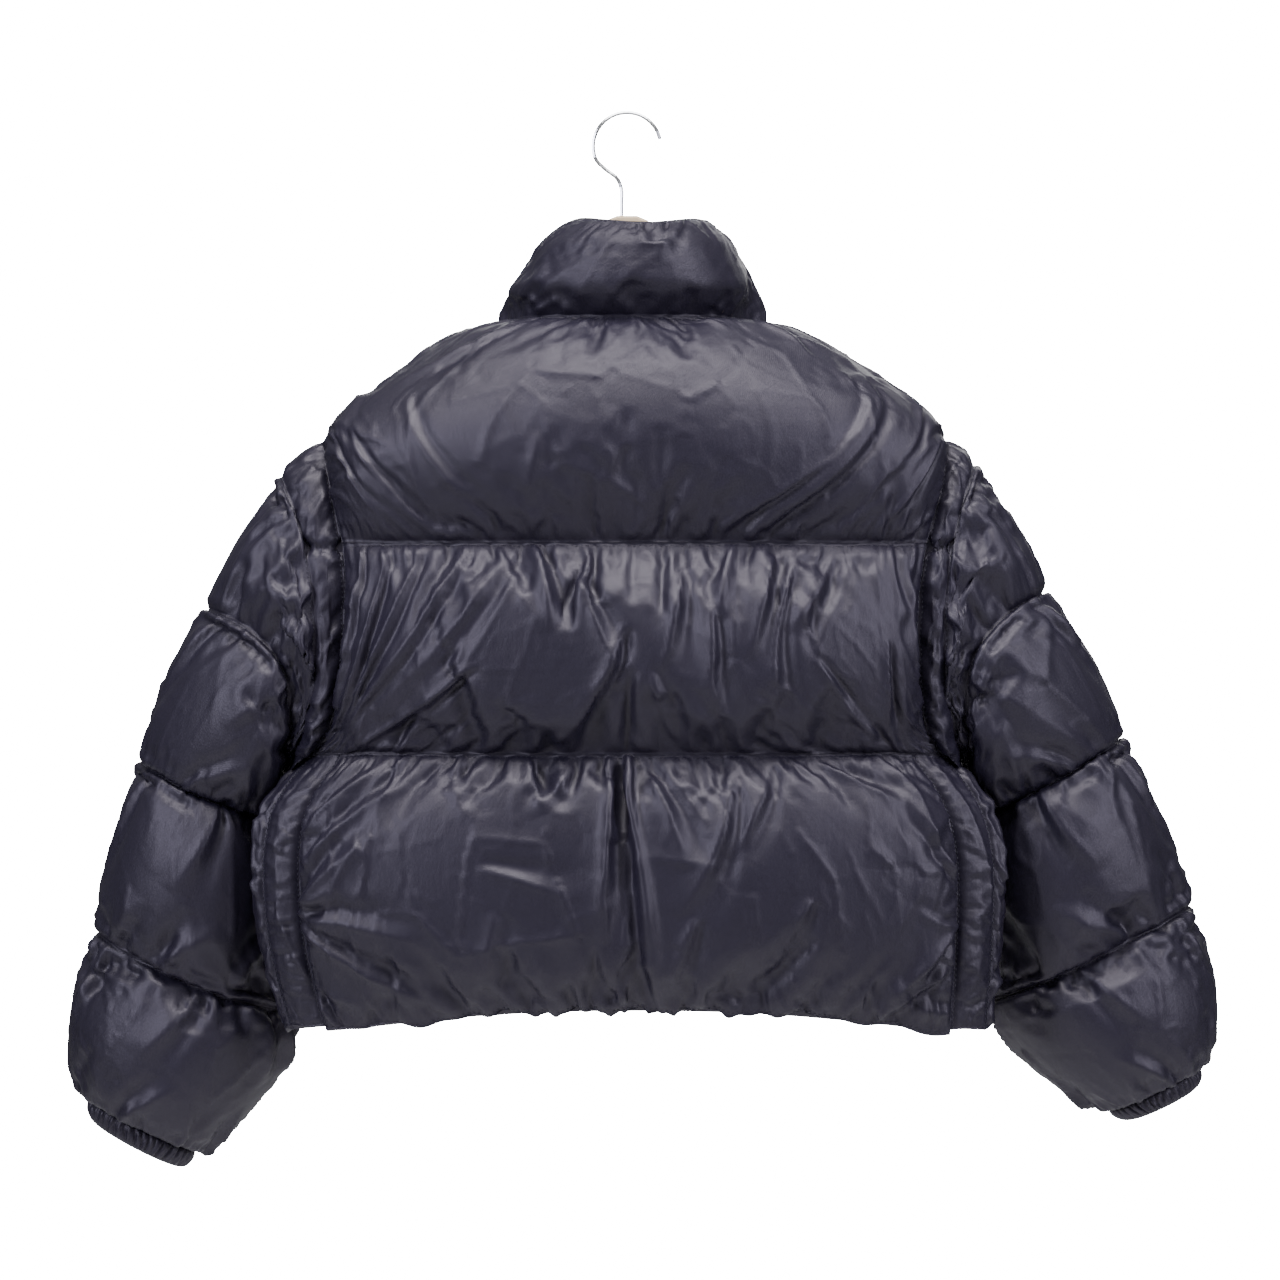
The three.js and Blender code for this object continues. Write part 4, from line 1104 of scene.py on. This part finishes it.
def cuff(side):
    rings = SLEEVE_RINGS[side]
    u, v = np.meshgrid(np.arange(CUFF_COLUMNS) / CUFF_COLUMNS, np.linspace(0, 1, CUFF_ROWS + 1))
    (start, start_way), (end, end_way) = ring_end(rings[4], u * 360), ring_end(rings[5], u * 360)
    wall, way = mix(start, end, v[..., None]), unit(mix(start_way, end_way, v[..., None]))
    around = u * 2 * np.pi
    wander = 0.5 * np.sin(3 * around + 1) + 0.35 * np.sin(7 * around) + 0.25 * np.sin(5 * around + 4 * v)
    pleat = np.abs(np.sin(CUFF_PLEATS * around / 2 + wander * 2.2)) ** 0.8
    small = np.abs(np.sin(71 * around / 2 + 3 * v + wander))
    bow = np.sqrt(np.clip(1 - (2 * v - 1) ** 2, 0, 1))
    out = 1.5 + bow * (2.0 + 2.6 * pleat + 0.8 * small)
    outside = wall + way * out[..., None]
    faces = grid_faces(CUFF_ROWS + 1, CUFF_COLUMNS, True)
    inner_faces = grid_faces(2, CUFF_COLUMNS, True, outside.size // 3)[:, ::-1]
    first, last = np.arange(CUFF_COLUMNS), np.arange(CUFF_COLUMNS) + CUFF_ROWS * CUFF_COLUMNS
    inner = outside.size // 3 + np.arange(CUFF_COLUMNS)
    rim = lambda outer, wall_row: np.stack([outer, np.roll(outer, -1), np.roll(wall_row, -1), wall_row], -1)
    rims = np.concatenate([rim(first, inner), rim(last, inner + CUFF_COLUMNS)[:, ::-1]])
    faces = np.concatenate([faces, inner_faces, rims])
    if (grid_normals(outside, True) * way).sum() < 0:
        faces = faces[:, ::-1]
    points = np.concatenate([outside.reshape(-1, 3), wall[[0, -1]].reshape(-1, 3)])
    uv_out = np.stack([walk(outside, 1), walk(outside, 0)], -1).reshape(-1, 2)
    uv = np.concatenate([uv_out, np.zeros((2 * CUFF_COLUMNS, 2))])
    piece = mesh_object(f"cuff_{side}_cloth", points, faces, uv * MM)
    cut = walk(np.concatenate([outside, outside[:, :1]], 1), 1)[:, -1].max(), walk(outside, 0)[-1].mean()
    print(piece.name, "cut of what shows", [round(float(x)) for x in cut], "mm")
    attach(piece, "jacket")
    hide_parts(f"cuff_{side}")
    return piece


cuffs = [cuff("left"), cuff("right")]
for piece in cuffs:
    piece.data.materials.append(shell_nylon)

# %% [markdown]
# The zip closes the front from the hem to the collar's top. Each woven tape lies on the wall,
# and its outer edge is sewn in under the front pads. The teeth are moulded one by one on the
# tape's inner edge, and those of the two sides alternate.

# %% Zip tapes and teeth
TAPE_WIDTH, TAPE_THICK, TOOTH_PITCH = 13.0, 0.9, 2.6


def zip_line(count):
    """The centre front from hem to collar top: points, and the way out of the cloth."""
    bottom, neck = hem_height(180.0) + 1, neck_height(180.0)
    body_part = body_point(180.0, mix(bottom, neck, np.linspace(0, 1, 80, endpoint=False)))
    collar_part = collar_point(np.full(40, 180.0), 0.97 * np.linspace(0, 1, 40))
    line = np.concatenate([body_part, collar_part])
    line[:, 0] = 0
    walked = walk(line, 0)
    at = np.linspace(0, walked[-1], count)
    line = np.stack([np.interp(at, walked, line[:, k]) for k in range(3)], -1)
    along = unit(np.gradient(line, axis=0))
    return line, np.stack([0 * at, along[:, 2], -along[:, 1]], -1), along, walked[-1]


def tape(side, sign):
    """A flat strip: its cross-section is a thin box, carried along the zip's line."""
    line, out, _, reach = zip_line(121)
    section = [(0.3, 0.0), (TAPE_WIDTH, 0.0), (TAPE_WIDTH, TAPE_THICK), (0.3, TAPE_THICK)]
    points = np.stack([line + (sign * across, 0, 0) + out * high for across, high in section], 1)
    index = np.arange(points.shape[0] * 4).reshape(-1, 4)
    ring = np.roll(index, -1, 1)
    faces = np.stack([index[:-1], ring[:-1], ring[1:], index[1:]], -1).reshape(-1, 4)
    faces = np.concatenate([faces, [index[0][::-1]], [index[-1]]])
    if sign < 0:
        faces = faces[:, ::-1]
    across = np.broadcast_to([0, TAPE_WIDTH, TAPE_WIDTH, 0], index.shape)
    uv = np.stack([across, np.broadcast_to(np.linspace(0, reach, len(line))[:, None], index.shape)], -1)
    piece = mesh_object(f"zip_tape_{side}_cloth", points.reshape(-1, 3), faces, uv.reshape(-1, 2) * MM, 0)
    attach(piece, "jacket")
    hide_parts(f"zip_tape_{side}")
    return piece


def teeth(side, sign):
    """Every tooth is one small box with a narrowed foot, repeated along the line."""
    _, _, _, reach = zip_line(3)
    count = int(reach / TOOTH_PITCH) - 1
    line, out, along, _ = zip_line(2 * count + 1)
    pick = slice(1 if sign > 0 else 2, None, 2)
    line, out, along = line[pick], out[pick], along[pick]
    box = np.array([(x, y, z) for x in (-0.7, 3.3) for y in (0.7, 4.1) for z in (-0.62, 0.62)])
    box[box[:, 0] > 0, 2] *= 0.75
    box[box[:, 1] > 1, 0] *= 0.85
    corners = (
        line[:, None]
        + np.array([sign, 0, 0]) * box[:, :1]
        + out[:, None] * box[:, 1:2]
        + along[:, None] * box[:, 2:]
    )
    sides = np.array([(0, 1, 3, 2), (4, 6, 7, 5), (0, 4, 5, 1), (2, 3, 7, 6), (0, 2, 6, 4), (1, 5, 7, 3)])
    faces = (np.arange(len(line))[:, None, None] * 8 + (sides if sign > 0 else sides[:, ::-1])).reshape(-1, 4)
    piece = mesh_object(f"zip_teeth_{side}", corners.reshape(-1, 3), faces, None, 0)
    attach(piece, "jacket")
    print(piece.name, len(line), "teeth")
    return piece


tapes = [tape("left", -1), tape("right", 1)]
tooth_rows = [teeth("left", -1), teeth("right", 1)]

# %% [markdown]
# Small finishes: the tape's twill, dark polished metal for the zip, bright wire for the hook
# and plain pale wood for the hanger, with its grain along the bar.

# %% Other finishes
def twill(name, tone):
    material, start = new_material(name)
    place = start.node("ShaderNodeUVMap", {"uv_map": "cloth"}, out="UV")
    x = start.node("ShaderNodeSeparateXYZ", out="X", Vector=place)
    y = start.node("ShaderNodeSeparateXYZ", out="Y", Vector=place)
    rib = start.math("SINE", x * 6000 + y * 6000)
    worn = start.node("ShaderNodeTexNoise", out="Fac", Vector=place, Scale=300.0, Detail=2.0)
    bump = start.node("ShaderNodeBump", Height=rib * 0.3 + worn * 0.3, Distance=0.0005, Strength=0.6)
    colour = two_tones(start, worn, tone, [1.6 * c for c in tone])
    finish_material(start, bump, Base_Color=colour, Roughness=worn * 0.1 + 0.72)
    return material


def polished(name, tone, rough, scale):
    material, start = new_material(name)
    place = start.node("ShaderNodeTexCoord", out="Object")
    wear = start.node("ShaderNodeTexNoise", out="Fac", Vector=place, Scale=scale, Detail=4.0)
    bump = start.node("ShaderNodeBump", Height=wear, Distance=0.0001, Strength=0.25)
    colour = two_tones(start, wear, tone, [0.8 * c for c in tone])
    finish_material(start, bump, Base_Color=colour, Metallic=1.0, Roughness=wear * 0.15 + rough)
    return material


def pale_wood(name):
    material, start = new_material(name)
    place = start.node("ShaderNodeTexCoord", out="Object")
    stretched = start.node("ShaderNodeMapping", Vector=place, Scale=(14.0, 160.0, 160.0))
    grain = start.node("ShaderNodeTexNoise", out="Fac", Vector=stretched, Scale=1.0, Detail=6.0, Distortion=0.6)
    colour = two_tones(start, grain, (0.68, 0.55, 0.38), (0.46, 0.33, 0.20))
    bump = start.node("ShaderNodeBump", Height=grain, Distance=0.0004, Strength=0.3)
    finish_material(start, bump, Base_Color=colour, Roughness=grain * 0.15 + 0.42)
    return material


tape_twill = twill("zip_tape_twill", (0.008, 0.008, 0.012))
dark_metal = polished("dark_zip_metal", (0.33, 0.33, 0.36), 0.2, 500.0)
bright_wire = polished("bright_hook_wire", (0.78, 0.79, 0.81), 0.08, 300.0)
hanger_wood = pale_wood("hanger_pale_wood")
for piece in tapes:
    piece.data.materials.append(tape_twill)
for piece in tooth_rows:
    piece.data.materials.append(dark_metal)


def finish_node(name, material):
    """Puts one material in every slot of a CAD node."""
    for slot in bpy.data.objects[name].material_slots:
        slot.material = material


for name, material in (
    ("zip_slider", dark_metal),
    ("zip_pull", dark_metal),
    ("hanger_hook", bright_wire),
    ("hanger_bar", hanger_wood),
):
    finish_node(name, material)
print("materials", len(bpy.data.materials))
